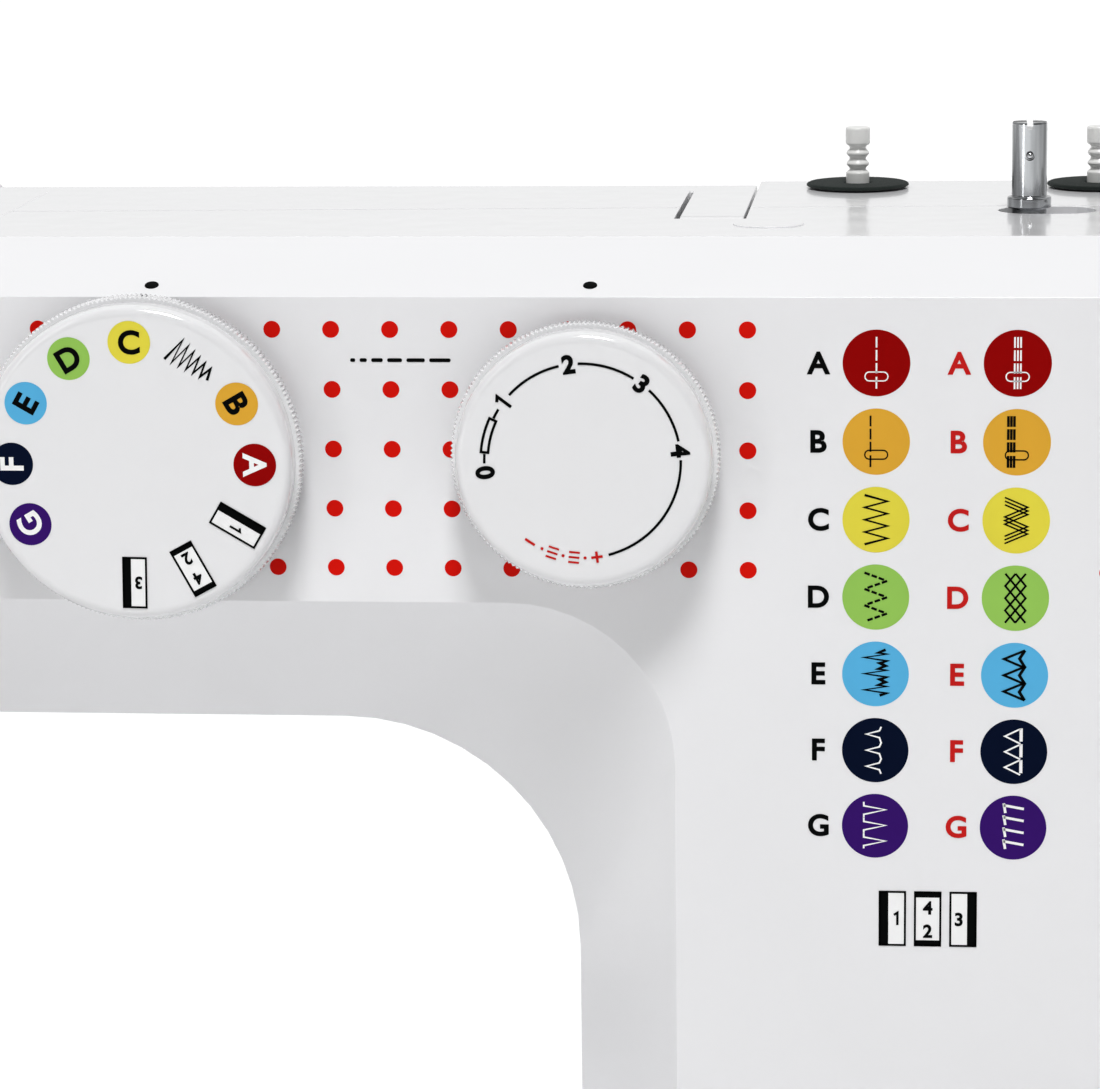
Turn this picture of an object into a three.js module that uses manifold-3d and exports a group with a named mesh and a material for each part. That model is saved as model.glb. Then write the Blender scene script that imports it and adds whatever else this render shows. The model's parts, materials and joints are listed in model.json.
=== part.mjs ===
// A domestic free-arm sewing machine, in millimetres.
// X runs to the right, Y to the back and Z up. The finished group's origin is under the middle of the
// machine, on the surface that it stands on. Every piece is drawn at rest: needle and presser foot raised,
// carry handle folded, extension table fitted, spool pins pushed in.

import * as THREE from 'three';
import { mergeVertices } from 'three/addons/utils/BufferGeometryUtils.js';
import Module from 'manifold-3d';

const wasm = await Module();
wasm.setup();

// ---------------------------------------------------------------- driving dimensions

const GAP = 0.4; // clearance between pieces that meet
const WALL = 2.5; // thickness of the moulded covers

const BODY = {
  face: -32, // the flat front of arm and pillar
  slopeDepth: 20, // the sloping strip behind the top edge of the face
  bevelDepth: 16, // the bevel round the harp, from the face to the full section
  rearRound: 6, // radius of the back edges
  rearRight: 79.5, // the back of the covers at their right end
  rearTaper: 0.0149, // the back comes forward towards the left by this much per millimetre
  foot: 92.3, // the pillar stands here
};

// The outline of head, arm and pillar, at the face and behind the bevel.
const FACE_OUTLINE = {
  left: -191, right: 158, top: 280.3, armUnder: 228, pillarSide: 50, headSide: -111, headUnder: 178,
  harpRadius: 28, flankRadius: 10, cornerRadius: 8,
};
const FULL_OUTLINE = {
  left: -197, right: 164, top: 288, armUnder: 204, pillarSide: 32, headSide: -95, headUnder: 165,
  harpRadius: 41, flankRadius: 15, cornerRadius: 10,
};

// The head cover is left of one split and the end cover right of the other.
const COVER_SPLIT = { face: -183, side: 150 };
const SEAM = { y: 25.5, x: -67, slope: 0.0354 }; // the joint between front and rear cover, seen from above

const BED = { left: -210, right: 164, front: -80, back: 80, top: 92, arm: -49, corner: 10 };
const BASE = { left: -205, bottom: 5.3, top: 20 };
const FREE_ARM = { left: -191, front: -41, back: 34, bottom: 44 };

const NEEDLE = { x: -146, y: 6, stroke: 31, tip: 105, length: 38 };
const fromNeedle = (...offsets) => offsets.map((offset) => NEEDLE.x + offset);
const PRESSER = { x: NEEDLE.x, y: 26, lift: 6 };
const MAIN_SHAFT = { y: NEEDLE.y, z: 246, radius: 5 };
const LOWER_SHAFT = { y: 0, z: 57, radius: 4 };
const HOOK = { x: NEEDLE.x, y: -15, radius: 19, bottom: 68, top: 84 };
const MOTOR = { y: 4, z: 130, radius: 28, left: 46, right: 112 };
const HANDWHEEL = { left: 167, right: 185, radius: 36 };

const TIMING = { left: 117, right: 126, radius: 16 }; // the toothed belt from main to lower shaft
const DRIVE = { left: 133, right: 142, small: 7, large: 30 }; // the belt from the motor

const DIAL = {
  depth: 11,
  pattern: { x: -39.6, z: 253.6, radius: 27.1 },
  length: { x: 35.8, z: 254.5, radius: 21.9 },
};
const SPOOL_PINS = [{ side: 'left', x: 78.7, y: 61.5 }, { side: 'right', x: 123.6, y: 62 }];
const SPOOL_PIN = { radius: 2.4, top: 299.4, bottom: 236 };
const FELT = { radius: 9.8, thickness: 1 };
const WINDER = { x: 110, y: 25, top: 303.8, radius: 3.1, travel: 6.5 };
const HANDLE = {
  left: -87, right: 59.5, armWidth: 11.5, front: 13.5, grip: 58, back: 72, bottom: 276.5, top: 287.7,
};

// ---------------------------------------------------------------- solids

// A closed three.js geometry as a solid that can be joined and cut.
function solidOf(geometry) {
  const bare = geometry.clone();
  bare.deleteAttribute('normal');
  bare.deleteAttribute('uv');
  const merged = mergeVertices(bare, 1e-4);
  const mesh = new wasm.Mesh({
    numProp: 3,
    vertProperties: new Float32Array(merged.attributes.position.array),
    triVerts: new Uint32Array(merged.index.array),
  });
  const solid = new wasm.Manifold(mesh);
  if (solid.volume() > 0) return solid;
  mesh.triVerts.reverse(); // the faces pointed in
  return new wasm.Manifold(mesh);
}

function geometryOf(solid) {
  const mesh = solid.getMesh();
  const geometry = new THREE.BufferGeometry();
  geometry.setAttribute('position', new THREE.BufferAttribute(new Float32Array(mesh.vertProperties), 3));
  geometry.setIndex(new THREE.BufferAttribute(new Uint32Array(mesh.triVerts), 1));
  geometry.computeVertexNormals();
  return geometry;
}

function join(first, ...others) {
  return others.reduce((sum, solid) => sum.add(solid), first);
}

function cut(first, ...others) {
  return others.reduce((rest, solid) => rest.subtract(solid), first);
}

// A box between two values on each axis.
function block([x0, x1], [y0, y1], [z0, z1]) {
  const geometry = new THREE.BoxGeometry(x1 - x0, y1 - y0, z1 - z0);
  geometry.translate((x0 + x1) / 2, (y0 + y1) / 2, (z0 + z1) / 2);
  return solidOf(geometry);
}

// Turns a geometry made along Y so that it lies along the named axis.
function alongAxis(geometry, axis) {
  if (axis === 'x') geometry.rotateZ(-Math.PI / 2);
  if (axis === 'z') geometry.rotateX(Math.PI / 2);
  return geometry;
}

// The place of a pair of cross-axis values, in X, Y, Z order.
function crossPlace(axis, [first, second]) {
  if (axis === 'x') return [0, first, second];
  if (axis === 'y') return [first, 0, second];
  return [first, second, 0];
}

// A round bar along an axis, from one value to the other.
function bar(axis, place, [from, to], radius, sides = 16) {
  const geometry = new THREE.CylinderGeometry(radius, radius, to - from, sides);
  geometry.translate(0, (from + to) / 2, 0);
  return solidOf(alongAxis(geometry, axis).translate(...crossPlace(axis, place)));
}

// A turned piece: the profile lists radius and position along the axis, from one end to the other.
function turned(axis, place, profile, sides = 18) {
  const points = profile.map(([radius, along]) => new THREE.Vector2(radius, along));
  const geometry = new THREE.LatheGeometry(points, sides);
  return solidOf(alongAxis(geometry, axis).translate(...crossPlace(axis, place)));
}

// An outline in the XZ plane given a thickness in Y.
function plateXZ(outline, [y0, y1], holes = []) {
  const shape = new THREE.Shape(outline);
  shape.holes = holes.map((hole) => new THREE.Path(hole));
  const depth = y1 - y0;
  const geometry = new THREE.ExtrudeGeometry(shape, { depth, bevelEnabled: false, curveSegments: 8 });
  geometry.rotateX(Math.PI / 2);
  return solidOf(geometry.translate(0, y1, 0));
}

// An outline in the YZ plane given a thickness in X.
function plateYZ(outline, [x0, x1], holes = []) {
  const shape = new THREE.Shape(outline);
  shape.holes = holes.map((hole) => new THREE.Path(hole));
  const depth = x1 - x0;
  const geometry = new THREE.ExtrudeGeometry(shape, { depth, bevelEnabled: false, curveSegments: 8 });
  geometry.rotateX(Math.PI / 2);
  geometry.rotateZ(Math.PI / 2);
  return solidOf(geometry.translate(x0, 0, 0));
}

// Points of an arc, angles in degrees, both ends included.
function arc([cx, cy], radius, [from, to], steps) {
  const points = [];
  for (let step = 0; step <= steps; step += 1) {
    const angle = THREE.MathUtils.degToRad(from + ((to - from) * step) / steps);
    points.push(new THREE.Vector2(cx + radius * Math.cos(angle), cy + radius * Math.sin(angle)));
  }
  return points;
}

// A rectangle with round corners.
function roundedRectangle([x0, x1], [y0, y1], radius, steps = 6) {
  return [
    ...arc([x1 - radius, y0 + radius], radius, [-90, 0], steps),
    ...arc([x1 - radius, y1 - radius], radius, [0, 90], steps),
    ...arc([x0 + radius, y1 - radius], radius, [90, 180], steps),
    ...arc([x0 + radius, y0 + radius], radius, [180, 270], steps),
  ];
}

// A box with round upright edges.
function roundedBlock(spanX, spanY, [z0, z1], radius) {
  const shape = new THREE.Shape(roundedRectangle(spanX, spanY, radius));
  const geometry = new THREE.ExtrudeGeometry(shape, { depth: z1 - z0, bevelEnabled: false });
  return solidOf(geometry.translate(0, 0, z0));
}

// A solid through rings of matching points; each ring lies in its own plane.
function loft(rings) {
  const count = rings[0].length;
  const positions = rings.flat().flatMap((point) => [point.x, point.y, point.z]);
  const indices = [];
  for (let ring = 0; ring + 1 < rings.length; ring += 1) {
    for (let i = 0; i < count; i += 1) {
      const next = (i + 1) % count;
      const a = ring * count + i;
      const b = ring * count + next;
      indices.push(a, b, b + count, a, b + count, a + count);
    }
  }
  const capOutline = rings[0].map((point) => new THREE.Vector2(point.x, point.z));
  const lastRing = (rings.length - 1) * count;
  const lastOutline = rings[rings.length - 1].map((point) => new THREE.Vector2(point.x, point.z));
  for (const [a, b, c] of THREE.ShapeUtils.triangulateShape(capOutline, [])) indices.push(a, c, b);
  for (const [a, b, c] of THREE.ShapeUtils.triangulateShape(lastOutline, [])) {
    indices.push(lastRing + a, lastRing + b, lastRing + c);
  }
  const geometry = new THREE.BufferGeometry();
  geometry.setAttribute('position', new THREE.Float32BufferAttribute(positions, 3));
  geometry.setIndex(indices.reverse());
  return solidOf(geometry);
}

// ---------------------------------------------------------------- covers of head, arm and pillar

const CORNER_STEPS = 6; // sides that a quarter turn is made of

// The closed outline seen from the front, x and z, shrunk by `inset` all round.
function bodyOutline(size, inset, foot) {
  const left = size.left + inset;
  const right = size.right - inset;
  const top = size.top - inset;
  const armUnder = size.armUnder + inset;
  const pillarSide = size.pillarSide + inset;
  const headSide = size.headSide - inset;
  const headUnder = size.headUnder + inset;
  const harpRadius = size.harpRadius + inset;
  const flankRadius = size.flankRadius + inset;
  const corner = size.cornerRadius - inset;
  return [
    new THREE.Vector2(right, foot),
    ...arc([right - corner, top - corner], corner, [0, 90], CORNER_STEPS),
    ...arc([left + corner, top - corner], corner, [90, 180], CORNER_STEPS),
    ...arc([left + corner, headUnder + corner], corner, [180, 270], CORNER_STEPS),
    ...arc([headSide - corner, headUnder + corner], corner, [-90, 0], CORNER_STEPS),
    ...arc([headSide + flankRadius, armUnder - flankRadius], flankRadius, [180, 90], CORNER_STEPS),
    ...arc([pillarSide - harpRadius, armUnder - harpRadius], harpRadius, [90, 0], 2 * CORNER_STEPS),
    new THREE.Vector2(pillarSide, foot),
  ];
}

function rearAt(x) {
  return BODY.rearRight + BODY.rearTaper * (x - FULL_OUTLINE.right);
}

// The whole body, shrunk by `inset`; its back edges are rounded.
function bodySolid(inset, foot) {
  const slopeRise = FULL_OUTLINE.top - FACE_OUTLINE.top;
  const shoulderTop = FACE_OUTLINE.top + (slopeRise * BODY.bevelDepth) / BODY.slopeDepth;
  const shoulder = { ...FULL_OUTLINE, top: shoulderTop };
  const edge = arc([0, 0], BODY.rearRound, [0, 90], CORNER_STEPS)
    .map((point) => ({ depth: BODY.rearRound - point.y, inset: BODY.rearRound - point.x }));
  const flat = (size, extra, y) => bodyOutline(size, inset + extra, foot)
    .map((point) => new THREE.Vector3(point.x, y, point.y));
  const sloped = (extra, depth) => bodyOutline(FULL_OUTLINE, inset + extra, foot)
    .map((point) => new THREE.Vector3(point.x, rearAt(point.x) - inset - depth, point.y));
  return loft([
    flat(FACE_OUTLINE, 0, BODY.face + inset),
    flat(shoulder, 0, BODY.face + BODY.bevelDepth + inset / 2),
    flat(FULL_OUTLINE, 0, BODY.face + BODY.slopeDepth + inset / 2),
    ...edge.map((step) => sloped(step.inset, step.depth)),
  ]);
}

// Everything on one side of the seam between front and rear cover.
function seamSide(behind) {
  const reach = 400;
  const across = new THREE.BoxGeometry(2 * reach, reach, 2 * reach);
  across.translate(0, (behind ? 1 : -1) * (reach / 2 + GAP / 2), 0);
  across.rotateZ(Math.atan(SEAM.slope));
  return solidOf(across.translate(SEAM.x, SEAM.y, reach / 2));
}

// The pocket that the folded carry handle lies in, grown by `wall` for its moulded walls.
function handlePocket(wall) {
  const clear = 0.6;
  const fingerDepth = 14;
  const top = FULL_OUTLINE.top + 2;
  const floor = HANDLE.bottom - clear;
  const armSpan = (from) => [from - clear - wall, from + HANDLE.armWidth + clear + wall];
  const armDepth = [HANDLE.front - clear - wall, HANDLE.grip + 2];
  const arm = (from) => block(armSpan(from), armDepth, [floor - wall, top]);
  const grip = block(
    [HANDLE.left - clear - wall, HANDLE.right + clear + wall],
    [HANDLE.grip - clear - wall, BODY.rearRight + 10],
    [floor - fingerDepth - wall, top],
  );
  return join(grip, arm(HANDLE.left), arm(HANDLE.right - HANDLE.armWidth));
}

function bodyCovers() {
  const outer = bodySolid(0, BODY.foot);
  const inner = bodySolid(WALL, BODY.foot - 10);
  const pocketWalls = handlePocket(WALL - 0.5).intersect(outer);
  const shell = cut(join(cut(outer, inner), pocketWalls), handlePocket(0));
  const far = 400;
  const leftOf = (x) => block([-far, x], [-far, far], [0, far]);
  const rightOf = (x) => block([x, far], [-far, far], [0, far]);
  const middle = cut(shell, leftOf(COVER_SPLIT.face + GAP / 2), rightOf(COVER_SPLIT.side - GAP / 2));
  return {
    front: middle.intersect(seamSide(false)),
    rear: middle.intersect(seamSide(true)),
    face: shell.intersect(leftOf(COVER_SPLIT.face - GAP / 2)),
    side: shell.intersect(rightOf(COVER_SPLIT.side + GAP / 2)),
  };
}

const TAKE_UP = { x: fromNeedle(22, 25), pivotY: 14, pivotZ: 228.5 };
const TENSION = { x: fromNeedle(-4, 4), y: -26, z: 256, radius: 14 };
const REVERSE = { x: [117, 133], pivotY: -20, pivotZ: 127, front: -47 };
const HEAD_OPENING = { x: fromNeedle(-25, 39), y: [-14, 50] };
const LAMP = { x: fromNeedle(-35.5, -27), y: [-8, 26], z: [161, 167] };
const INLET = { y: [26, 46], z: [112, 128] };
const SWITCH = { y: [-10, 6], z: [109, 131] };

// The openings in the underside of the head, for the bars and for the lamp.
function headUnderOpenings() {
  const through = [FULL_OUTLINE.headUnder - 5, FULL_OUTLINE.headUnder + 7];
  const grown = ([from, to]) => [from - GAP, to + GAP];
  return [block(HEAD_OPENING.x, HEAD_OPENING.y, through), block(grown(LAMP.x), grown(LAMP.y), through)];
}

function frontCover(cover) {
  const dialHole = (dial) => bar('y', [dial.x, dial.z], [BODY.face - 5, BODY.face + 10], 5.5);
  const throughFace = [BODY.face - 5, BODY.face + 8];
  const slotEnd = 5.5;
  const tensionSlot = TENSION.radius + GAP;
  const winderEnds = [WINDER.x, WINDER.x + WINDER.travel];
  const throughTop = [FULL_OUTLINE.top - 8, FULL_OUTLINE.top + 5];
  return cut(
    cover,
    dialHole(DIAL.pattern),
    dialHole(DIAL.length),
    block([TAKE_UP.x[0] - 1.5, TAKE_UP.x[1] + 1.5], throughFace, [206, 273]),
    block(
      [TENSION.x[0] - 1, TENSION.x[1] + 1],
      throughFace,
      [TENSION.z - tensionSlot, TENSION.z + tensionSlot],
    ),
    block([REVERSE.x[0] - 1, REVERSE.x[1] + 1], throughFace, [106, 136]),
    ...headUnderOpenings(),
    block(winderEnds, [WINDER.y - slotEnd, WINDER.y + slotEnd], throughTop),
    ...winderEnds.map((x) => bar('z', [x, WINDER.y], throughTop, slotEnd)),
  );
}

function rearCover(cover) {
  const pinHole = (pin) => bar('z', [pin.x, pin.y], [280, 290], SPOOL_PIN.radius + GAP, 16);
  return cut(cover, ...headUnderOpenings(), ...SPOOL_PINS.map(pinHole));
}

function sideCover(cover) {
  const through = [COVER_SPLIT.side + 5, BED.right + 5];
  const grown = ([from, to]) => [from - GAP, to + GAP];
  return cut(
    cover,
    bar('x', [MAIN_SHAFT.y, MAIN_SHAFT.z], through, MAIN_SHAFT.radius + 3),
    block(through, grown(INLET.y), grown(INLET.z)),
    block(through, grown(SWITCH.y), grown(SWITCH.z)),
  );
}

// ---------------------------------------------------------------- bed, base and free arm

function basePlate() {
  const lip = 6;
  const floor = BASE.bottom + WALL;
  const plate = roundedBlock([BASE.left, BED.right], [BED.front, BED.back], [BASE.bottom, BASE.top], 12);
  const tray = block(
    [BED.arm + lip, BED.right - lip],
    [BED.front + lip, BED.back - lip],
    [floor, BASE.top + 1],
  );
  const under = block(
    [BASE.left + lip, BED.arm - lip],
    [BED.front + lip, BED.back - lip],
    [BASE.bottom - 1, BASE.top - WALL],
  );
  const leftFeet = FEET.filter((foot) => foot.x < BED.arm);
  const footPads = leftFeet.map((foot) => bar('z', [foot.x, foot.y], [BASE.bottom, BASE.top - 1], 11, 16));
  return join(cut(plate, tray, under), ...footPads);
}

const FEET = [
  { name: 'foot_front_left', x: BED.left + 25, y: -62 },
  { name: 'foot_rear_left', x: BED.left + 25, y: 62 },
  { name: 'foot_front_right', x: 144, y: -62 },
  { name: 'foot_rear_right', x: 144, y: 62 },
];

function rubberFoot(foot) {
  const top = BASE.bottom - GAP;
  return turned('z', [foot.x, foot.y], [[0, 0], [8.5, 0], [9.5, top], [0, top]], 14);
}

const SHAFT_WELL = { x: [58, 148], y: [-20, 72] }; // opening under the pillar

const DROP_FEED = { slide: [-38, -18], knob: [-31, -25], travel: 12, z: 65 }; // x spans of the lever at rest

function lowerHousing() {
  const foot = BASE.top + GAP;
  const outer = roundedBlock([BED.arm, BED.right], [BED.front, BED.back], [foot, BED.top], BED.corner);
  const inner = roundedBlock(
    [BED.arm + WALL, BED.right - WALL],
    [BED.front + WALL, BED.back - WALL],
    [foot - 1, BED.top - WALL],
    BED.corner - WALL,
  );
  const armHole = block(
    [BED.arm - 1, BED.arm + WALL + 1],
    [FREE_ARM.front + WALL, FREE_ARM.back - WALL],
    [FREE_ARM.bottom + WALL, BED.top - WALL - 1],
  );
  const well = block(SHAFT_WELL.x, SHAFT_WELL.y, [BED.top - 6, BED.top + 2]);
  const { knob, travel, z } = DROP_FEED;
  const dropSlot = block(
    [knob[0] - 2, knob[1] + travel + 2],
    [BED.back - 6, BED.back + 2],
    [z - 4.5, z + 4.5],
  );
  return cut(outer, inner, armHole, well, dropSlot);
}

const PLATE_OPENING = { x: fromNeedle(-29, 29), y: [-36, 30] };

function freeArmCover() {
  const outerSpan = { x: [FREE_ARM.left, BED.arm - GAP], y: [FREE_ARM.front, FREE_ARM.back] };
  const section = [FREE_ARM.bottom, BED.top];
  const outer = roundedBlock(outerSpan.x, outerSpan.y, section, 6);
  const inner = block(
    [FREE_ARM.left + WALL, BED.arm + 5],
    [FREE_ARM.front + WALL, FREE_ARM.back - WALL],
    [FREE_ARM.bottom + WALL, BED.top - WALL],
  );
  const opening = block(PLATE_OPENING.x, PLATE_OPENING.y, [BED.top - 6, BED.top + 2]);
  return cut(outer, inner, opening);
}

const PLATE = { bottom: 90, split: -13.2 }; // the needle plate is behind the split, the bobbin cover in front
const FEED_ROWS = [
  { x: fromNeedle(-10, -7), y: [-6, 24] },
  { x: fromNeedle(-2, 2), y: [13, 24] },
  { x: fromNeedle(7, 10), y: [-6, 24] },
];

function needlePlate() {
  const plate = block(
    [PLATE_OPENING.x[0] + GAP, PLATE_OPENING.x[1] - GAP],
    [PLATE.split + GAP, PLATE_OPENING.y[1] - GAP],
    [PLATE.bottom, BED.top],
  );
  const through = [PLATE.bottom - 2, BED.top + 2];
  const swing = 3.8;
  const needleSlot = block([NEEDLE.x - swing, NEEDLE.x + swing], [NEEDLE.y - 1.5, NEEDLE.y + 1.5], through);
  const feedSlot = (row) => block([row.x[0] - 1, row.x[1] + 1], [row.y[0] - 3, row.y[1] + 3], through);
  return cut(plate, needleSlot, ...FEED_ROWS.map(feedSlot));
}

function bobbinCover() {
  const plate = block(
    [PLATE_OPENING.x[0] + GAP, PLATE_OPENING.x[1] - GAP],
    [PLATE_OPENING.y[0] + GAP, PLATE.split],
    [PLATE.bottom, BED.top - 0.1],
  );
  const thumbNotch = block(
    fromNeedle(-4, 4),
    [PLATE_OPENING.y[0], PLATE_OPENING.y[0] + 4],
    [BED.top - 0.9, BED.top + 1],
  );
  return cut(plate, thumbNotch);
}

const LID = { x: [-201, -60], z: [26, 84], thickness: 2.5 };

function extensionTable() {
  const clear = 0.6;
  const bottom = BASE.top + GAP;
  const span = { x: [BED.left, BED.arm - clear], y: [BED.front, BED.back] };
  const outer = roundedBlock(span.x, span.y, [bottom, BED.top], BED.corner);
  const armSlot = block(
    [FREE_ARM.left - clear, BED.arm + 5],
    [FREE_ARM.front - clear, FREE_ARM.back + clear],
    [bottom - 1, BED.top + 1],
  );
  const boxBack = FREE_ARM.front - clear - WALL;
  const rearFront = FREE_ARM.back + clear + WALL;
  const inside = [bottom - 1, BED.top - WALL];
  const boxSpan = [BED.left + WALL, BED.arm - clear - WALL];
  const innerCorner = BED.corner - 2 * WALL;
  const frontBox = roundedBlock(
    boxSpan,
    [BED.front + WALL, boxBack],
    [bottom + WALL, BED.top - WALL],
    innerCorner,
  );
  const leftHollow = roundedBlock(
    [BED.left + WALL, FREE_ARM.left - clear - WALL],
    [boxBack + WALL, BED.back - WALL],
    inside,
    innerCorner,
  );
  const rearHollow = roundedBlock(boxSpan, [rearFront, BED.back - WALL], inside, innerCorner);
  const doorway = block(
    [LID.x[0] - GAP, LID.x[1] + GAP],
    [BED.front - 1, BED.front + WALL + 1],
    [LID.z[0] - GAP, LID.z[1] + GAP],
  );
  return cut(outer, armSlot, frontBox, leftHollow, rearHollow, doorway);
}

function accessoryLid() {
  const panel = block(LID.x, [BED.front, BED.front + LID.thickness], LID.z);
  const middle = (LID.x[0] + LID.x[1]) / 2;
  const pull = block(
    [middle - 8, middle + 8],
    [BED.front - 1, BED.front + 1.2],
    [LID.z[1] - 6, LID.z[1] + 1],
  );
  return cut(panel, pull);
}

// ---------------------------------------------------------------- castings

const ARM_FRAME = { y: [40, 48], left: NEEDLE.x - 29, right: 112, beam: [216, 256], pillar: 60, stand: 8.4 };
const SHAFT_LUGS = [fromNeedle(27, 35), [0, 6], [100, 108]];
const PRESSER_GUIDES = [[171, 179], [252, 262]];

function armFrame() {
  const outline = [
    [ARM_FRAME.right, ARM_FRAME.stand], [ARM_FRAME.right, ARM_FRAME.beam[1]],
    [NEEDLE.x + 31, ARM_FRAME.beam[1]], [NEEDLE.x + 31, 278],
    [ARM_FRAME.left, 278], [ARM_FRAME.left, 172], [NEEDLE.x + 9, 172],
    [NEEDLE.x + 9, 160], [NEEDLE.x + 25, 160], [NEEDLE.x + 25, 172], [NEEDLE.x + 33, 172],
    [NEEDLE.x + 41, ARM_FRAME.beam[0]], [30, ARM_FRAME.beam[0]], [ARM_FRAME.pillar, 186],
    [ARM_FRAME.pillar, ARM_FRAME.stand],
  ].map(([x, z]) => new THREE.Vector2(x, z));
  const plate = plateXZ(outline, ARM_FRAME.y);
  const lug = (span) => cut(
    block(span, [MAIN_SHAFT.y - 10, ARM_FRAME.y[0] + 1], [MAIN_SHAFT.z - 10, MAIN_SHAFT.z + 10]),
    bar('x', [MAIN_SHAFT.y, MAIN_SHAFT.z], [span[0] - 1, span[1] + 1], MAIN_SHAFT.radius + 0.3),
  );
  const presserGuide = (span) => cut(
    block([PRESSER.x - 7, PRESSER.x + 7], [PRESSER.y - 6, ARM_FRAME.y[0] + 1], span),
    bar('z', [PRESSER.x, PRESSER.y], [span[0] - 1, span[1] + 1], 3.9),
  );
  const cradlePin = bar('y', [CRADLE.x, CRADLE.pivot], [1.5, ARM_FRAME.y[0] + 1], 2.5, 16);
  const lifterPin = bar('y', [LIFTER.x, LIFTER.z], [30.5, ARM_FRAME.y[0] + 1], 3, 16);
  return join(plate, ...SHAFT_LUGS.map(lug), ...PRESSER_GUIDES.map(presserGuide), cradlePin, lifterPin);
}

const BED_FRAME = { y: [24.5, 30], left: NEEDLE.x - 29, right: 112, web: [48, 72] };
const LOWER_LUGS = [fromNeedle(15, 23), [0, 6], [100, 108]];

function bedFrame() {
  const web = block([BED_FRAME.left, BED_FRAME.right], BED_FRAME.y, BED_FRAME.web);
  const stand = block([60, BED_FRAME.right], BED_FRAME.y, [ARM_FRAME.stand, BED_FRAME.web[1]]);
  const lug = (span) => cut(
    block(span, [LOWER_SHAFT.y - 8, BED_FRAME.y[0] + 1], [LOWER_SHAFT.z - 8, LOWER_SHAFT.z + 8]),
    bar('x', [LOWER_SHAFT.y, LOWER_SHAFT.z], [span[0] - 1, span[1] + 1], LOWER_SHAFT.radius + 0.3),
  );
  const tie = block([70, 100], [BED_FRAME.y[1] - 1, ARM_FRAME.y[0] - GAP], [30, 60]);
  const hookArm = join(
    block(fromNeedle(-29, -17), [-22, BED_FRAME.y[0] + 1], [48, 52]),
    block(fromNeedle(-18, 8), [-22, -10.5], [48, 52]),
  );
  const hookBearing = bar('z', [HOOK.x, HOOK.y], [47, 53], 3.4);
  return cut(join(web, stand, ...LOWER_LUGS.map(lug), tie, hookArm), hookBearing);
}

// ---------------------------------------------------------------- motor, shafts and belts

function motor() {
  const body = turned('x', [MOTOR.y, MOTOR.z], [
    [0, MOTOR.left], [MOTOR.radius - 6, MOTOR.left], [MOTOR.radius, MOTOR.left + 6],
    [MOTOR.radius, MOTOR.right - 6], [MOTOR.radius - 6, MOTOR.right], [0, MOTOR.right],
  ]);
  const bracket = block([70, 90], [MOTOR.y + 20, ARM_FRAME.y[0] - GAP], [MOTOR.z - 8, MOTOR.z + 8]);
  return join(body, bracket);
}

function motorPulley() {
  return turned('x', [MOTOR.y, MOTOR.z], [
    [0, MOTOR.right + GAP], [3, MOTOR.right + GAP], [3, DRIVE.left], [DRIVE.small, DRIVE.left],
    [DRIVE.small, DRIVE.right], [0, DRIVE.right],
  ]);
}

function pulleyProfile(radius, [from, to], bore) {
  const flange = radius + 1.5;
  return [
    [bore, from], [flange, from], [flange, from + 0.8], [radius, from + 0.8],
    [radius, to - 0.8], [flange, to - 0.8], [flange, to], [bore, to], [bore, from],
  ];
}

function mainShaft() {
  const shaft = bar('x', [MAIN_SHAFT.y, MAIN_SHAFT.z], [NEEDLE.x + 18, 178], MAIN_SHAFT.radius);
  const drive = turned('x', [MAIN_SHAFT.y, MAIN_SHAFT.z], [
    [0, DRIVE.left], [DRIVE.large, DRIVE.left], [DRIVE.large, DRIVE.right], [0, DRIVE.right],
  ], 24);
  const profile = pulleyProfile(TIMING.radius, [TIMING.left, TIMING.right], MAIN_SHAFT.radius - 0.5);
  return join(shaft, drive, turned('x', [MAIN_SHAFT.y, MAIN_SHAFT.z], profile));
}

function lowerPulley() {
  const profile = pulleyProfile(TIMING.radius, [TIMING.left, TIMING.right], LOWER_SHAFT.radius + 0.3);
  return turned('x', [LOWER_SHAFT.y, LOWER_SHAFT.z], profile);
}

const CRANK = { disc: fromNeedle(14, 17.6), radius: 20, pinReach: NEEDLE.stroke / 2 };

function crankDisc() {
  const disc = bar('x', [MAIN_SHAFT.y, MAIN_SHAFT.z], CRANK.disc, CRANK.radius, 20);
  const counterweight = block([CRANK.disc[0] + 0.5, CRANK.disc[1]], [-14, 26], [226, 236]);
  const pinSpan = [NEEDLE.x + 11.6, CRANK.disc[0] + 1];
  const pin = bar('x', [MAIN_SHAFT.y, MAIN_SHAFT.z + CRANK.pinReach], pinSpan, 3, 16);
  return join(disc, counterweight, pin);
}

// A belt round two pulleys, open in the middle.
function belt([x0, x1], first, second, thickness) {
  const ring = (grow) => {
    const between = Math.hypot(second.y - first.y, second.z - first.z);
    const direction = Math.atan2(second.z - first.z, second.y - first.y);
    const lean = Math.acos((first.radius - second.radius) / between);
    const degrees = THREE.MathUtils.radToDeg;
    const start = degrees(direction + lean);
    const end = degrees(direction - lean);
    return [
      ...arc([first.y, first.z], first.radius + grow, [start, end + 360], 12),
      ...arc([second.y, second.z], second.radius + grow, [end, start], 12),
    ];
  };
  return plateYZ(ring(GAP + thickness), [x0, x1], [ring(GAP)]);
}

function driveBelt() {
  const small = { y: MOTOR.y, z: MOTOR.z, radius: DRIVE.small };
  const large = { y: MAIN_SHAFT.y, z: MAIN_SHAFT.z, radius: DRIVE.large };
  return belt([DRIVE.left + 1, DRIVE.right - 1], small, large, 1.8);
}

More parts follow.
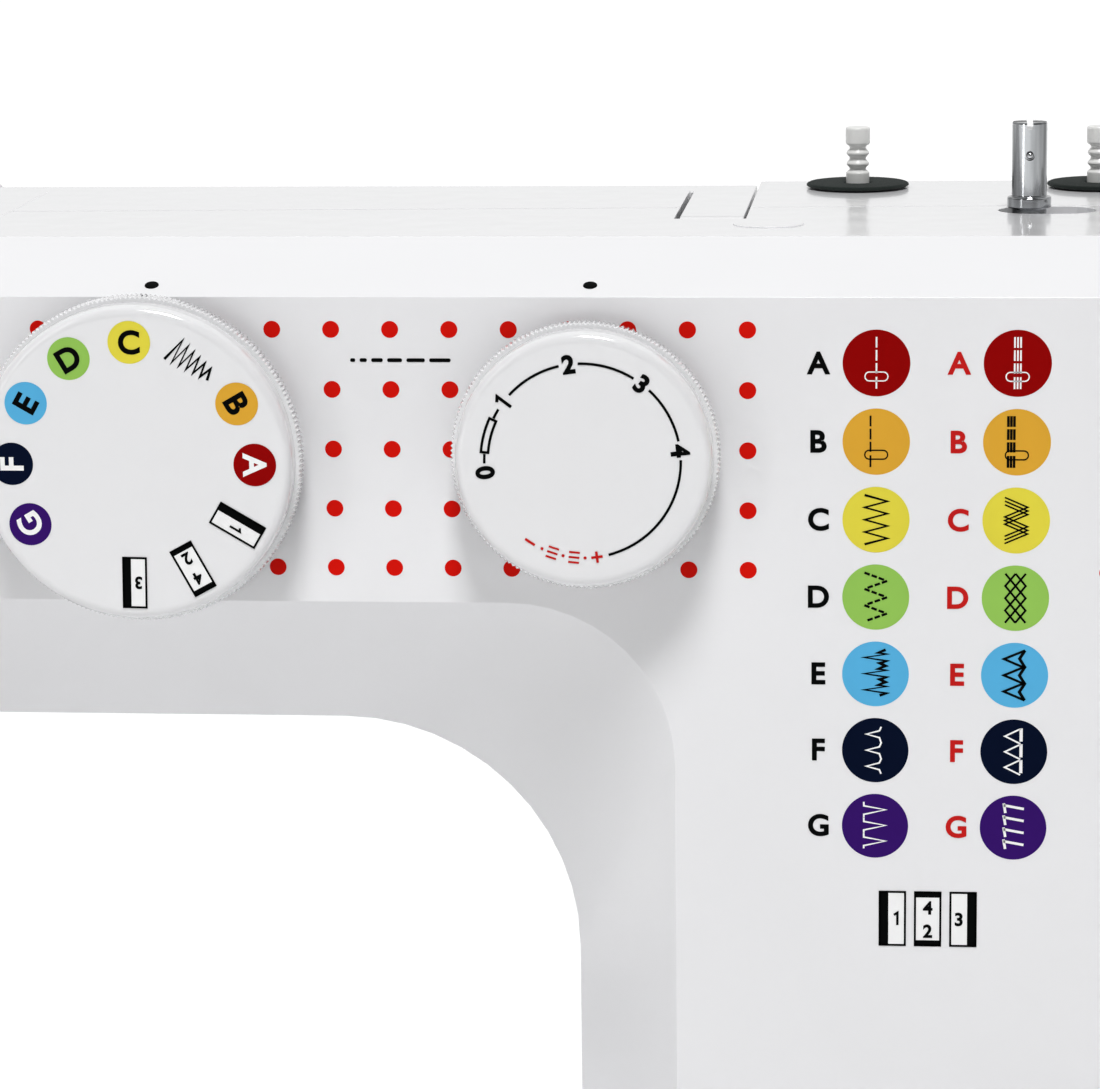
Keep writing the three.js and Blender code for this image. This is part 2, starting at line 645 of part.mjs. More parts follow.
function timingBelt() {
  const lower = { y: LOWER_SHAFT.y, z: LOWER_SHAFT.z, radius: TIMING.radius };
  const upper = { y: MAIN_SHAFT.y, z: MAIN_SHAFT.z, radius: TIMING.radius };
  return belt([TIMING.left + 1.2, TIMING.right - 1.2], lower, upper, 1.2);
}

function handwheel() {
  const { left, right, radius } = HANDWHEEL;
  const bore = MAIN_SHAFT.radius + 0.3;
  return turned('x', [MAIN_SHAFT.y, MAIN_SHAFT.z], [
    [0, 179], [bore, 179], [bore, left], [14, left], [14, left + 6],
    [radius - 5, left + 6], [radius - 5, left], [radius - 1, left], [radius, left + 1],
    [radius, right - 5], [radius - 1.5, right - 1.5], [radius - 5, right],
    [20, right], [17, right - 2.5], [0, right - 2.5],
  ], 24);
}

const GEARS = { lower: 9.7, hook: 4.9, lowerSpan: fromNeedle(-5, 5), hookSpan: [53, 61] };

function lowerShaft() {
  return bar('x', [LOWER_SHAFT.y, LOWER_SHAFT.z], [GEARS.lowerSpan[0] - 2, 132], LOWER_SHAFT.radius);
}

function lowerGear() {
  const bore = LOWER_SHAFT.radius + 0.3;
  const [from, to] = GEARS.lowerSpan;
  return turned('x', [LOWER_SHAFT.y, LOWER_SHAFT.z], [
    [bore, from], [GEARS.lower, from], [GEARS.lower, to], [bore, to], [bore, from],
  ]);
}

// ---------------------------------------------------------------- hook and bobbin

function rotaryHook() {
  const { bottom, top, radius } = HOOK;
  const [gearFrom, gearTo] = GEARS.hookSpan;
  const cup = turned('z', [HOOK.x, HOOK.y], [
    [0, 47.5], [3, 47.5], [3, gearFrom], [GEARS.hook, gearFrom], [GEARS.hook, gearTo],
    [3, gearTo], [3, bottom], [radius - 3, bottom], [radius, bottom + 3], [radius, top],
    [radius - 1.5, top], [radius - 1.5, bottom + 3.5], [radius - 4, bottom + 1.8], [0, bottom + 1.8],
  ], 20);
  const point = block([HOOK.x + 6, HOOK.x + 12], [HOOK.y - 22, HOOK.y - 8], [top - 3, top + 1]);
  return cut(cup, point);
}

const BOBBIN_CASE = { radius: HOOK.radius - 2.2, bottom: HOOK.bottom + 2.4, wall: 1.4 };
const BOBBIN = { radius: 10.2, height: 11.7 };

function bobbinCase() {
  const { radius, bottom, wall } = BOBBIN_CASE;
  const top = HOOK.top + 0.8;
  return turned('z', [HOOK.x, HOOK.y], [
    [0, bottom], [radius - 3, bottom], [radius, bottom + 3], [radius, top], [BOBBIN.radius + 0.6, top],
    [BOBBIN.radius + 0.6, bottom + wall], [2.2, bottom + wall], [2.2, bottom + 6], [0, bottom + 6],
  ], 20);
}

function bobbin() {
  const bottom = BOBBIN_CASE.bottom + BOBBIN_CASE.wall + GAP;
  const top = bottom + BOBBIN.height;
  const bore = 3;
  const hub = 4;
  const rim = 0.9;
  return turned('z', [HOOK.x, HOOK.y], [
    [bore, bottom], [BOBBIN.radius, bottom], [BOBBIN.radius, bottom + rim], [hub, bottom + rim],
    [hub, top - rim], [BOBBIN.radius, top - rim], [BOBBIN.radius, top], [bore, top], [bore, bottom],
  ]);
}

// ---------------------------------------------------------------- needle bar and take-up

const CRADLE = { x: NEEDLE.x - 7, pivot: 270 };
const NEEDLE_BAR = { radius: 3.25, bottom: 150.4, top: 264 };
const ROD = { x: fromNeedle(8, 11), stud: 212 };

function needleBarCradle() {
  const web = block(fromNeedle(-9, -6), [2.5, 9.5], [168, 264]);
  const boss = bar('y', [CRADLE.x, CRADLE.pivot], [2.5, 9.5], 7);
  const lug = (span) => block(fromNeedle(-8, 5.5), [0.5, 11.5], span);
  const bore = bar('z', [NEEDLE.x, NEEDLE.y], [160, 262], NEEDLE_BAR.radius + 0.3);
  const pinHole = bar('y', [CRADLE.x, CRADLE.pivot], [0, 12], 2.8, 16);
  return cut(join(web, boss, lug([168, 174]), lug([236, 242])), bore, pinHole);
}

function needleBar() {
  const tube = bar('z', [NEEDLE.x, NEEDLE.y], [NEEDLE_BAR.bottom, NEEDLE_BAR.top - 1], NEEDLE_BAR.radius);
  const collar = block([NEEDLE.x - 4.5, NEEDLE.x + 4], [1.5, 10.5], [ROD.stud - 5, ROD.stud + 5]);
  const stud = bar('x', [NEEDLE.y, ROD.stud], [NEEDLE.x + 3, ROD.x[1] - 0.5], 2.5, 16);
  return join(tube, collar, stud);
}

function connectingRod() {
  const top = MAIN_SHAFT.z + CRANK.pinReach;
  const shank = block(ROD.x, [NEEDLE.y - 3, NEEDLE.y + 3], [ROD.stud, top]);
  const eye = (z, radius) => bar('x', [NEEDLE.y, z], ROD.x, radius);
  const hole = (z, radius) => bar('x', [NEEDLE.y, z], [ROD.x[0] - 1, ROD.x[1] + 1], radius, 16);
  return cut(join(shank, eye(ROD.stud, 5), eye(top, 6)), hole(ROD.stud, 2.8), hole(top, 3.4));
}

function needleClamp() {
  const top = NEEDLE_BAR.bottom - GAP;
  const body = bar('z', [NEEDLE.x, NEEDLE.y], [137, top], 4.6);
  const screw = bar('x', [NEEDLE.y, 141], [NEEDLE.x + 3, NEEDLE.x + 12], 2.6, 16);
  const head = bar('x', [NEEDLE.y, 141], [NEEDLE.x + 8, NEEDLE.x + 13], 4, 16);
  const socket = bar('z', [NEEDLE.x, NEEDLE.y], [136, 145], 1.4, 16);
  return cut(join(body, screw, head), socket);
}

function needle() {
  const { tip, length } = NEEDLE;
  const top = tip + length;
  return turned('z', [NEEDLE.x, NEEDLE.y], [
    [0, tip], [0.4, tip + 4], [0.5, tip + 24], [1, tip + 27], [1, top], [0, top],
  ], 10);
}

function takeUpLever() {
  const { x, pivotY, pivotZ } = TAKE_UP;
  const tipY = BODY.face - 9;
  const tipZ = pivotZ + 31;
  const points = [
    [pivotY, pivotZ - 5], [pivotY + 5, pivotZ], [pivotY + 1, pivotZ + 5], [tipY + 4, tipZ + 4],
    [tipY, tipZ + 4], [tipY, tipZ - 1], [pivotY - 5, pivotZ - 4],
  ].map(([y, z]) => new THREE.Vector2(y, z));
  const eye = arc([tipY + 3.2, tipZ + 1], 1.1, [0, 300], 5);
  return plateYZ(points, x, [eye]);
}

// ---------------------------------------------------------------- presser foot and feed

const FOOT = { sole: 99.2, ankle: 106.5, pinY: 15, x: fromNeedle(-10, 10), y: [-12, 19] };
const LIFTER = { x: NEEDLE.x + 17, z: 168 };

function presserBar() {
  const shaft = bar('z', [PRESSER.x, PRESSER.y], [117, 268], 3.5);
  const collar = block([PRESSER.x - 6, LIFTER.x + 1], [PRESSER.y - 5, 36.5], [186.4, 190]);
  return join(shaft, collar);
}

function footHolder() {
  const { x, y } = PRESSER;
  const sleeve = block([x - 6, x + 6], [y - 6, y + 6], [108, 124]);
  const shank = block([x - 3, x + 3], [FOOT.pinY - 3, y], [FOOT.ankle - 2, 116]);
  const screw = bar('x', [y, 116], [x - 16, x - 5], 2.5, 16);
  const head = bar('x', [y, 116], [x - 16, x - 9], 5, 16);
  const bore = bar('z', [x, y], [117 - GAP, 130], 3.9);
  const hook = bar('x', [FOOT.pinY, FOOT.ankle - 0.2], [x - 4, x + 4], 1.9, 12);
  return cut(join(sleeve, shank, screw, head), bore, hook);
}

function presserFoot() {
  const { sole, ankle, pinY } = FOOT;
  const x = PRESSER.x;
  const plate = block(FOOT.x, FOOT.y, [sole, sole + 2]);
  const toe = block(FOOT.x, [FOOT.y[0] - 1, FOOT.y[0] + 5], [sole - 1, sole + 0.7]);
  const ear = (span) => block(span, [pinY - 3, pinY + 3], [sole + 1, ankle + 1]);
  const pin = bar('x', [pinY, ankle - 0.2], [x - 6, x + 6], 1.3, 12);
  const slot = block([x - 4.5, x + 4.5], [NEEDLE.y - 3, NEEDLE.y + 3], [sole - 1, sole + 3]);
  return cut(join(plate, ear([x - 7, x - 4.6]), ear([x + 4.6, x + 7]), pin), slot, toe);
}

function presserSpring() {
  const turns = 6;
  const stepsPerTurn = 8;
  const span = [191.5, 250];
  const points = [];
  for (let i = 0; i <= turns * stepsPerTurn; i += 1) {
    const angle = (2 * Math.PI * i) / stepsPerTurn;
    const z = span[0] + ((span[1] - span[0]) * i) / (turns * stepsPerTurn);
    points.push(new THREE.Vector3(PRESSER.x + 5.4 * Math.cos(angle), PRESSER.y + 5.4 * Math.sin(angle), z));
  }
  const wire = new THREE.Shape(arc([0, 0], 0.8, [0, 288], 4));
  const path = new THREE.CatmullRomCurve3(points);
  const steps = turns * stepsPerTurn;
  return solidOf(new THREE.ExtrudeGeometry(wire, { steps, extrudePath: path, bevelEnabled: false }));
}

function presserLifter() {
  const { x, z } = LIFTER;
  const angle = THREE.MathUtils.degToRad(-35);
  const along = ([distance, across]) => new THREE.Vector2(
    x + distance * Math.cos(angle) - across * Math.sin(angle),
    z + distance * Math.sin(angle) + across * Math.cos(angle),
  );
  const outline = [
    ...[[-2, -7], [30, -3.5], [38, -5], [40, 0], [38, 5], [30, 3.5], [6, 6.5]].map(along),
    ...arc([x, z], 17.6, [84, 92], 2),
    ...arc([x, z], 8, [150, 230], 4),
  ];
  const blade = plateXZ(outline, [31, 37]);
  return cut(blade, bar('y', [x, z], [30, 38], 3.3, 16));
}

function feedBar() {
  return join(
    block([NEEDLE.x - 12, -60], [14, 22], [74, 82]),
    block([-66, -60], [14, 20], [60, 76]),
  );
}

const FEED_DOG = { bottom: 87.2, plate: 89.4, top: 92.8 };

function feedDog() {
  const plate = block(fromNeedle(-12, 12), [-8, 26], [FEED_DOG.bottom, FEED_DOG.plate]);
  const needleHole = block(
    fromNeedle(-6, 6),
    [NEEDLE.y - 6, NEEDLE.y + 6],
    [FEED_DOG.bottom - 1, FEED_DOG.plate + 1],
  );
  const pitch = 3;
  const row = ({ x, y }) => {
    const count = Math.floor((y[1] - y[0]) / pitch);
    const teeth = [new THREE.Vector2(y[0], FEED_DOG.plate - 0.5)];
    for (let i = 0; i < count; i += 1) {
      teeth.push(new THREE.Vector2(y[0] + i * pitch, FEED_DOG.top - 1.2));
      teeth.push(new THREE.Vector2(y[0] + (i + 0.8) * pitch, FEED_DOG.top));
    }
    teeth.push(new THREE.Vector2(y[0] + count * pitch, FEED_DOG.top - 1.2));
    teeth.push(new THREE.Vector2(y[0] + count * pitch, FEED_DOG.plate - 0.5));
    return plateYZ(teeth.reverse(), x);
  };
  return join(cut(plate, needleHole), ...FEED_ROWS.map(row));
}

function dropFeedLever() {
  const { slide, knob, z } = DROP_FEED;
  const plate = block(slide, [71, BED.back - WALL - GAP], [z - 9, z + 9]);
  const grip = block(knob, [BED.back - WALL - 1, BED.back - 0.3], [z - 3, z + 3]);
  return join(plate, grip);
}

// ---------------------------------------------------------------- dials, levers and top fittings

// A dial on its shaft, turned round Y: flat front, rounded edge, flange for the knurl at the back.
function dial({ x, z, radius }, shaftEnd) {
  const back = BODY.face - GAP;
  const front = BODY.face - DIAL.depth;
  return turned('y', [x, z], [
    [0, front], [radius - 3, front], [radius - 0.9, front + 0.9], [radius, front + 3], [radius, back],
    [4, back], [4, shaftEnd], [0, shaftEnd],
  ], 32);
}

function dialCam({ x, z }, radius, [from, to]) {
  const bore = 4.3;
  const step = (from + to) / 2;
  return turned('y', [x, z], [
    [bore, from], [radius, from], [radius, step], [radius - 3, step],
    [radius - 3, to], [bore, to], [bore, from],
  ]);
}

function tensionDial() {
  const { x, y, z, radius } = TENSION;
  return turned('x', [y, z], [
    [0, x[0] + 0.6], [radius - 1, x[0] + 0.6], [radius, x[0] + 1.6], [radius, x[1] - 1.6],
    [radius - 1, x[1] - 0.6], [0, x[1] - 0.6],
  ], 20);
}

function reverseLever() {
  const { x, pivotY, pivotZ, front } = REVERSE;
  const arm = block([x[0] + 4, x[1] - 4], [BODY.face - 2, pivotY + 3], [pivotZ - 3, pivotZ + 3]);
  const paddle = block(x, [front, BODY.face - 1.5], [pivotZ - 6, pivotZ + 6]);
  return join(arm, paddle);
}

function winderArm() {
  const plate = block([100, 122], [WINDER.y - 8, WINDER.y + 8], [263, 266]);
  return cut(plate, bar('z', [WINDER.x, WINDER.y], [262, 267], WINDER.radius + 0.3));
}

function winderSpindle() {
  const { x, y, top, radius } = WINDER;
  const flange = FULL_OUTLINE.top + 0.5;
  const body = turned('z', [x, y], [
    [0, 258], [radius, 258], [radius, 269], [9, 269], [9, 274], [radius, 274], [radius, flange],
    [radius + 0.8, flange], [radius + 0.8, flange + 2], [radius, flange + 2], [radius, top - 0.6],
    [radius - 0.6, top], [0, top],
  ], 16);
  const slot = block([x - 0.6, x + 0.6], [y - 4, y + 4], [top - 1.2, top + 1]);
  return cut(body, slot);
}

function winderStopper() {
  const seat = FULL_OUTLINE.top + 0.3;
  const stopperX = 136;
  return turned('z', [stopperX, WINDER.y], [
    [0, seat], [5.5, seat], [5.5, seat + 4], [4.5, seat + 5], [0, seat + 5],
  ]);
}

// A spool pin with ribs that grip the reel.
function spoolPin({ x, y }) {
  const { radius, top, bottom } = SPOOL_PIN;
  const groove = radius - 0.6;
  return turned('z', [x, y], [
    [0, bottom], [radius, bottom], [radius, top - 8.6], [groove, top - 7.8], [radius, top - 6.4],
    [groove, top - 5.6], [radius, top - 4.6], [groove, top - 3.8], [radius, top - 3.2], [radius, top - 0.5],
    [radius - 0.5, top], [0, top],
  ], 10);
}

function spoolFelt({ x, y }) {
  const bottom = FULL_OUTLINE.top + 0.3;
  const bore = SPOOL_PIN.radius + 0.3;
  return turned('z', [x, y], [
    [bore, bottom], [FELT.radius, bottom], [FELT.radius, bottom + FELT.thickness],
    [bore, bottom + FELT.thickness], [bore, bottom],
  ]);
}

// The folding carry handle: two arms from a round pivot end to the grip across the back.
function carryHandle() {
  const { left, right, armWidth, front, grip, back, bottom, top } = HANDLE;
  const radius = (top - bottom) / 2;
  const centre = [front + radius, bottom + radius];
  const armOutline = [...arc(centre, radius, [90, 270], 8), ...[[grip + 2, bottom], [grip + 2, top]]
    .map(([y, z]) => new THREE.Vector2(y, z))];
  const arm = (from) => plateYZ(armOutline, [from, from + armWidth]);
  const corner = 4;
  const gripOutline = [
    [grip, bottom], [back - corner, bottom], [back, bottom + corner], [back, top - corner],
    [back - 1.2, top - 1.2], [back - corner, top], [grip, top],
  ].map(([y, z]) => new THREE.Vector2(y, z));
  return join(plateYZ(gripOutline, [left, right]), arm(left), arm(right - armWidth));
}

function lampLens() {
  return block(LAMP.x, LAMP.y, LAMP.z);
}

// ---------------------------------------------------------------- electrics

function powerInlet() {
  const outside = BED.right + 0.6;
  const socket = block([148, outside], INLET.y, INLET.z);
  const cavity = block(
    [153, outside + 1],
    [INLET.y[0] + 2, INLET.y[1] - 2],
    [INLET.z[0] + 2, INLET.z[1] - 2],
  );
  return cut(socket, cavity);
}

function powerSwitch() {
  const middle = (SWITCH.z[0] + SWITCH.z[1]) / 2;
  const half = (SWITCH.z[1] - SWITCH.z[0]) / 2 - 1.6;
  const outline = [
    [154, middle - half], [163, middle - half], [164.2, middle], [166.5, middle + half], [154, middle + half],
  ].map(([x, z]) => new THREE.Vector2(x, z));
  return plateXZ(outline, [SWITCH.y[0] + GAP, SWITCH.y[1] - GAP]);
}

// ---------------------------------------------------------------- assembly

const material = (color, roughness, metalness) => ({ color, roughness, metalness });
const WHITE = material(0xe8e8ea, 0.35, 0);
const DIAL_WHITE = material(0xececee, 0.2, 0);
const CREAM = material(0xe0e0de, 0.4, 0);
const STEEL = material(0xb8babd, 0.3, 1);
const CHROME = material(0xd8dadc, 0.12, 1);
const ALUMINIUM = material(0x9a9c9e, 0.5, 1);
const BLACK = material(0x1c1c1e, 0.5, 0);
const RUBBER = material(0x26262a, 0.9, 0);
const FELT_GREEN = material(0x49504e, 1, 0);
const CLEAR = material(0xdde6ea, 0.1, 0);

const machine = new THREE.Group();
machine.position.x = -(BED.left + HANDWHEEL.right) / 2; // the drawing's zero is off the middle

function add(group, name, solid, look) {
  const mesh = new THREE.Mesh(geometryOf(solid), new THREE.MeshStandardMaterial(look));
  mesh.name = name;
  group.add(mesh);
}

const covers = bodyCovers();
const housing = new THREE.Group();
add(housing, 'front_cover', frontCover(covers.front), WHITE);
add(housing, 'rear_cover', rearCover(covers.rear), WHITE);
add(housing, 'side_cover', sideCover(covers.side), WHITE);
add(housing, 'face_cover', covers.face, WHITE);
add(housing, 'lower_housing', lowerHousing(), WHITE);
add(housing, 'base_plate', basePlate(), WHITE);
add(housing, 'free_arm_cover', freeArmCover(), WHITE);
add(housing, 'needle_plate', needlePlate(), STEEL);
add(housing, 'bobbin_cover', bobbinCover(), CLEAR);
add(housing, 'extension_table', extensionTable(), WHITE);
add(housing, 'accessory_lid', accessoryLid(), WHITE);
FEET.forEach((foot) => add(housing, foot.name, rubberFoot(foot), RUBBER));
machine.add(housing);

const frames = new THREE.Group();
add(frames, 'arm_frame', armFrame(), ALUMINIUM);
add(frames, 'bed_frame', bedFrame(), ALUMINIUM);
machine.add(frames);

const drive = new THREE.Group();
add(drive, 'motor', motor(), BLACK);
add(drive, 'motor_pulley', motorPulley(), STEEL);
add(drive, 'drive_belt', driveBelt(), RUBBER);
add(drive, 'timing_belt', timingBelt(), RUBBER);
add(drive, 'main_shaft', mainShaft(), STEEL);
add(drive, 'crank_disc', crankDisc(), STEEL);
add(drive, 'handwheel', handwheel(), WHITE);
add(drive, 'lower_shaft', lowerShaft(), STEEL);
add(drive, 'lower_pulley', lowerPulley(), BLACK);
add(drive, 'lower_gear', lowerGear(), STEEL);
machine.add(drive);

const sewing = new THREE.Group();
add(sewing, 'rotary_hook', rotaryHook(), STEEL);
add(sewing, 'bobbin_case', bobbinCase(), BLACK);
add(sewing, 'bobbin', bobbin(), CLEAR);
add(sewing, 'take_up_lever', takeUpLever(), CHROME);
add(sewing, 'needle_bar_cradle', needleBarCradle(), ALUMINIUM);
add(sewing, 'needle_bar', needleBar(), CHROME);
add(sewing, 'connecting_rod', connectingRod(), STEEL);
add(sewing, 'needle_clamp', needleClamp(), STEEL);
add(sewing, 'needle', needle(), CHROME);
add(sewing, 'presser_bar', presserBar(), CHROME);
add(sewing, 'presser_spring', presserSpring(), STEEL);
add(sewing, 'foot_holder', footHolder(), STEEL);
add(sewing, 'presser_foot', presserFoot(), CHROME);
add(sewing, 'presser_lifter', presserLifter(), CREAM);
add(sewing, 'feed_bar', feedBar(), ALUMINIUM);
add(sewing, 'feed_dog', feedDog(), STEEL);
add(sewing, 'drop_feed_lever', dropFeedLever(), CREAM);
machine.add(sewing);

const controls = new THREE.Group();
add(controls, 'pattern_dial', dial(DIAL.pattern, -8), DIAL_WHITE);
add(controls, 'pattern_cam', dialCam(DIAL.pattern, 14, [-26, -10]), CREAM);
add(controls, 'length_dial', dial(DIAL.length, -12), DIAL_WHITE);
add(controls, 'tension_dial', tensionDial(), DIAL_WHITE);
add(controls, 'reverse_lever', reverseLever(), DIAL_WHITE);
add(controls, 'power_switch', powerSwitch(), BLACK);
add(controls, 'power_inlet', powerInlet(), BLACK);
add(controls, 'lamp_lens', lampLens(), CLEAR);
machine.add(controls);

const topFittings = new THREE.Group();
SPOOL_PINS.forEach((pin) => add(topFittings, `spool_pin_${pin.side}`, spoolPin(pin), CREAM));
SPOOL_PINS.forEach((pin) => add(topFittings, `spool_felt_${pin.side}`, spoolFelt(pin), FELT_GREEN));
add(topFittings, 'winder_arm', winderArm(), CREAM);
add(topFittings, 'winder_spindle', winderSpindle(), CHROME);
add(topFittings, 'winder_stopper', winderStopper(), CREAM);
add(topFittings, 'carry_handle', carryHandle(), WHITE);
machine.add(topFittings);

export default machine;
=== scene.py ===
"""Looks of the sewing machine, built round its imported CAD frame. All lengths are metres."""

import bmesh
import bpy
import json
import math
from mathutils import Matrix, Vector


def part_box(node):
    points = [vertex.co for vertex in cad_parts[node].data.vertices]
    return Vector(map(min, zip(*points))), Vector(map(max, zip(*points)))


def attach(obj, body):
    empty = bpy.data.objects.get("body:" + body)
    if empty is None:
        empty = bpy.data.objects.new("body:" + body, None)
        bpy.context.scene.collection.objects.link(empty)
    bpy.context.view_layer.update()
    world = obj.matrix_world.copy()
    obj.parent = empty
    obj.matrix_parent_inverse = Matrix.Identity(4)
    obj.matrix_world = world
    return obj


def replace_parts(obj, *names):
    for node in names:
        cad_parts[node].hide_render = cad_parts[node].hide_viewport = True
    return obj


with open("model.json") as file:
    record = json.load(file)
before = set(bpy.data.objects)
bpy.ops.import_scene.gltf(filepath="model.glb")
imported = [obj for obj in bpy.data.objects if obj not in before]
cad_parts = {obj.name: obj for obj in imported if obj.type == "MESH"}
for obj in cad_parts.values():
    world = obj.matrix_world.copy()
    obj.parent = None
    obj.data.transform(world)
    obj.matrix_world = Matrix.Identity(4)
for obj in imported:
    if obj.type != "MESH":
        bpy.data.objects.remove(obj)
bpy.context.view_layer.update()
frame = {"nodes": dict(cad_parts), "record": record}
MM = 0.001

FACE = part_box("front_cover")[0].y
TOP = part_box("front_cover")[1].z
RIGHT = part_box("side_cover")[1].x
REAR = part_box("rear_cover")[1].y
BED_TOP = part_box("lower_housing")[1].z


def middle(node):
    low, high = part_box(node)
    return (low + high) / 2


# ---- materials


def ink(red, green, blue):
    """A colour given as screen values from 0 to 255, as the linear values that a shader takes."""
    return tuple(((value / 255 + 0.055) / 1.055) ** 2.4 for value in (red, green, blue))


def noise(material, scale, detail=2.0, stretch=(1, 1, 1)):
    """The value of a noise laid through the object, with `scale` features to the metre."""
    nodes, links = material.node_tree.nodes, material.node_tree.links
    place = nodes.new("ShaderNodeTexCoord")
    mapping = nodes.new("ShaderNodeMapping")
    mapping.inputs["Scale"].default_value = stretch
    texture = nodes.new("ShaderNodeTexNoise")
    texture.inputs["Scale"].default_value = scale
    texture.inputs["Detail"].default_value = detail
    links.new(place.outputs["Object"], mapping.inputs["Vector"])
    links.new(mapping.outputs["Vector"], texture.inputs["Vector"])
    return texture.outputs["Fac"]


TONE_SCALE = 30  # slow drifts of tone, to the metre
GLOSS_SCALE = 150  # patches of gloss, to the metre


def surface(name, colour, roughness, metallic=0.0, coat=0.0, shine=0.5, grain=(0.004, 0.5), uneven=0.015,
            stretch=(1, 1, 1)):
    """A finish with a slowly drifting tone and a patchy gloss. The grain is a depth and a size in mm."""
    material = bpy.data.materials.new(name)
    material.use_nodes = True
    nodes, links = material.node_tree.nodes, material.node_tree.links
    shader = nodes["Principled BSDF"]
    shader.inputs["Metallic"].default_value = metallic
    shader.inputs["Coat Weight"].default_value = coat
    shader.inputs["Coat Roughness"].default_value = 0.06
    shader.inputs["Specular IOR Level"].default_value = shine
    tone = nodes.new("ShaderNodeValToRGB")
    for element, place, factor in zip(tone.color_ramp.elements, (0.3, 0.7), (1 - uneven, 1 + uneven)):
        element.position = place
        element.color = (*(min(1.0, value * factor) for value in colour), 1.0)
    links.new(noise(material, TONE_SCALE, stretch=stretch), tone.inputs["Fac"])
    links.new(tone.outputs["Color"], shader.inputs["Base Color"])
    gloss = nodes.new("ShaderNodeMapRange")
    gloss.inputs["To Min"].default_value = roughness * 0.85
    gloss.inputs["To Max"].default_value = roughness * 1.15
    links.new(noise(material, GLOSS_SCALE, stretch=stretch), gloss.inputs["Value"])
    links.new(gloss.outputs["Result"], shader.inputs["Roughness"])
    depth, size = grain
    bump = nodes.new("ShaderNodeBump")
    bump.inputs["Strength"].default_value = 0.5
    bump.inputs["Distance"].default_value = depth * MM
    links.new(noise(material, 1 / (size * MM), 3.0, stretch), bump.inputs["Height"])
    links.new(bump.outputs["Normal"], shader.inputs["Normal"])
    return material


def see_through(material, share):
    """Lets `share` of the light through a material."""
    shader = material.node_tree.nodes["Principled BSDF"]
    shader.inputs["Transmission Weight"].default_value = share
    shader.inputs["IOR"].default_value = 1.45
    return material


WHITE = surface("cover_white", (0.80, 0.80, 0.812), 0.22, coat=0.5, grain=(0.002, 1.2), uneven=0.006)
DIAL_WHITE = surface("dial_white", (0.775, 0.775, 0.785), 0.12, coat=0.9, grain=(0.001, 2.0), uneven=0.005)
CREAM = surface("cream_plastic", (0.76, 0.76, 0.745), 0.32, coat=0.2, grain=(0.004, 0.6), uneven=0.02)
SHUTTER = surface("grey_shutter", ink(196, 196, 199), 0.4, grain=(0.004, 0.5), uneven=0.02)
FELT = surface("felt", ink(46, 52, 50), 0.95, shine=0.1, grain=(0.25, 0.35), uneven=0.22)
FELT.node_tree.nodes["Principled BSDF"].inputs["Sheen Weight"].default_value = 0.12
CHROME = surface("chrome", (0.62, 0.63, 0.645), 0.09, metallic=1.0, grain=(0.003, 1.0), uneven=0.03)
# Painted reflection: the strong up-and-down streaks of darker and lighter tone in this plated steel stand
# for reflections of the room, laid into its colour.
PLATED_PAINTED_STREAKS = surface("plated_steel_painted_streaks", (0.4, 0.41, 0.42), 0.12, metallic=1.0, grain=(0.004, 0.4), uneven=0.55,
                 stretch=(16, 16, 0.6))
STEEL = surface("steel", (0.56, 0.57, 0.58), 0.27, metallic=1.0, grain=(0.006, 0.25), uneven=0.05,
                stretch=(1, 8, 1))
CASTING = surface("cast_aluminium", (0.5, 0.51, 0.52), 0.48, metallic=1.0, grain=(0.08, 0.7), uneven=0.08)
ENAMEL = surface("motor_enamel", (0.02, 0.02, 0.022), 0.3, coat=0.4, grain=(0.02, 0.8), uneven=0.1)
BLACK = surface("black_plastic", (0.018, 0.018, 0.02), 0.42, grain=(0.03, 0.35), uneven=0.1)
RUBBER = surface("rubber", (0.025, 0.025, 0.027), 0.8, grain=(0.04, 0.5), uneven=0.12)
CLEAR = see_through(surface("clear_plastic", (0.9, 0.94, 0.95), 0.06, grain=(0.001, 2.0)), 0.9)
LENS = see_through(surface("lamp_lens", (0.95, 0.95, 0.92), 0.35, grain=(0.05, 1.0)), 0.6)
BRASS = surface("brass", (0.72, 0.5, 0.2), 0.25, metallic=1.0, grain=(0.004, 0.4), uneven=0.05)

INKS = {
    "black": ink(4, 7, 7),
    "white": ink(240, 240, 240),
    "red_dot": ink(212, 26, 14),
    "red_letter": ink(198, 40, 38),
    "crimson": ink(152, 2, 2),
    "orange": ink(220, 172, 66),
    "yellow": ink(225, 214, 82),
    "green": ink(156, 199, 101),
    "blue": ink(100, 182, 222),
    "navy": ink(5, 20, 48),
    "purple": ink(64, 26, 114),
}
PRINTED = {
    name: surface(f"ink_{name}", colour, 0.5, shine=0.05, grain=(0.002, 0.15), uneven=0.04)
    for name, colour in INKS.items()
}

# ---- mesh making


def piece(name, bm, material, body, crease=30.0):
    """A bmesh as a finished piece on a body; edges that turn more than `crease` degrees stay sharp."""
    bmesh.ops.recalc_face_normals(bm, faces=bm.faces)
    for face in bm.faces:
        face.smooth = True
    for edge in bm.edges:
        edge.smooth = len(edge.link_faces) == 2 and edge.calc_face_angle(0.0) < math.radians(crease)
    mesh = bpy.data.meshes.new(name)
    bm.to_mesh(mesh)
    bm.free()
    mesh.materials.append(material)
    made = bpy.data.objects.new(name, mesh)
    bpy.context.scene.collection.objects.link(made)
    weighted = made.modifiers.new("weighted normals", "WEIGHTED_NORMAL")
    weighted.keep_sharp = True
    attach(made, body)
    return made


def body_of(node):
    return next(name for name, nodes in frame["record"]["behaviour"]["bodies"].items() if node in nodes)


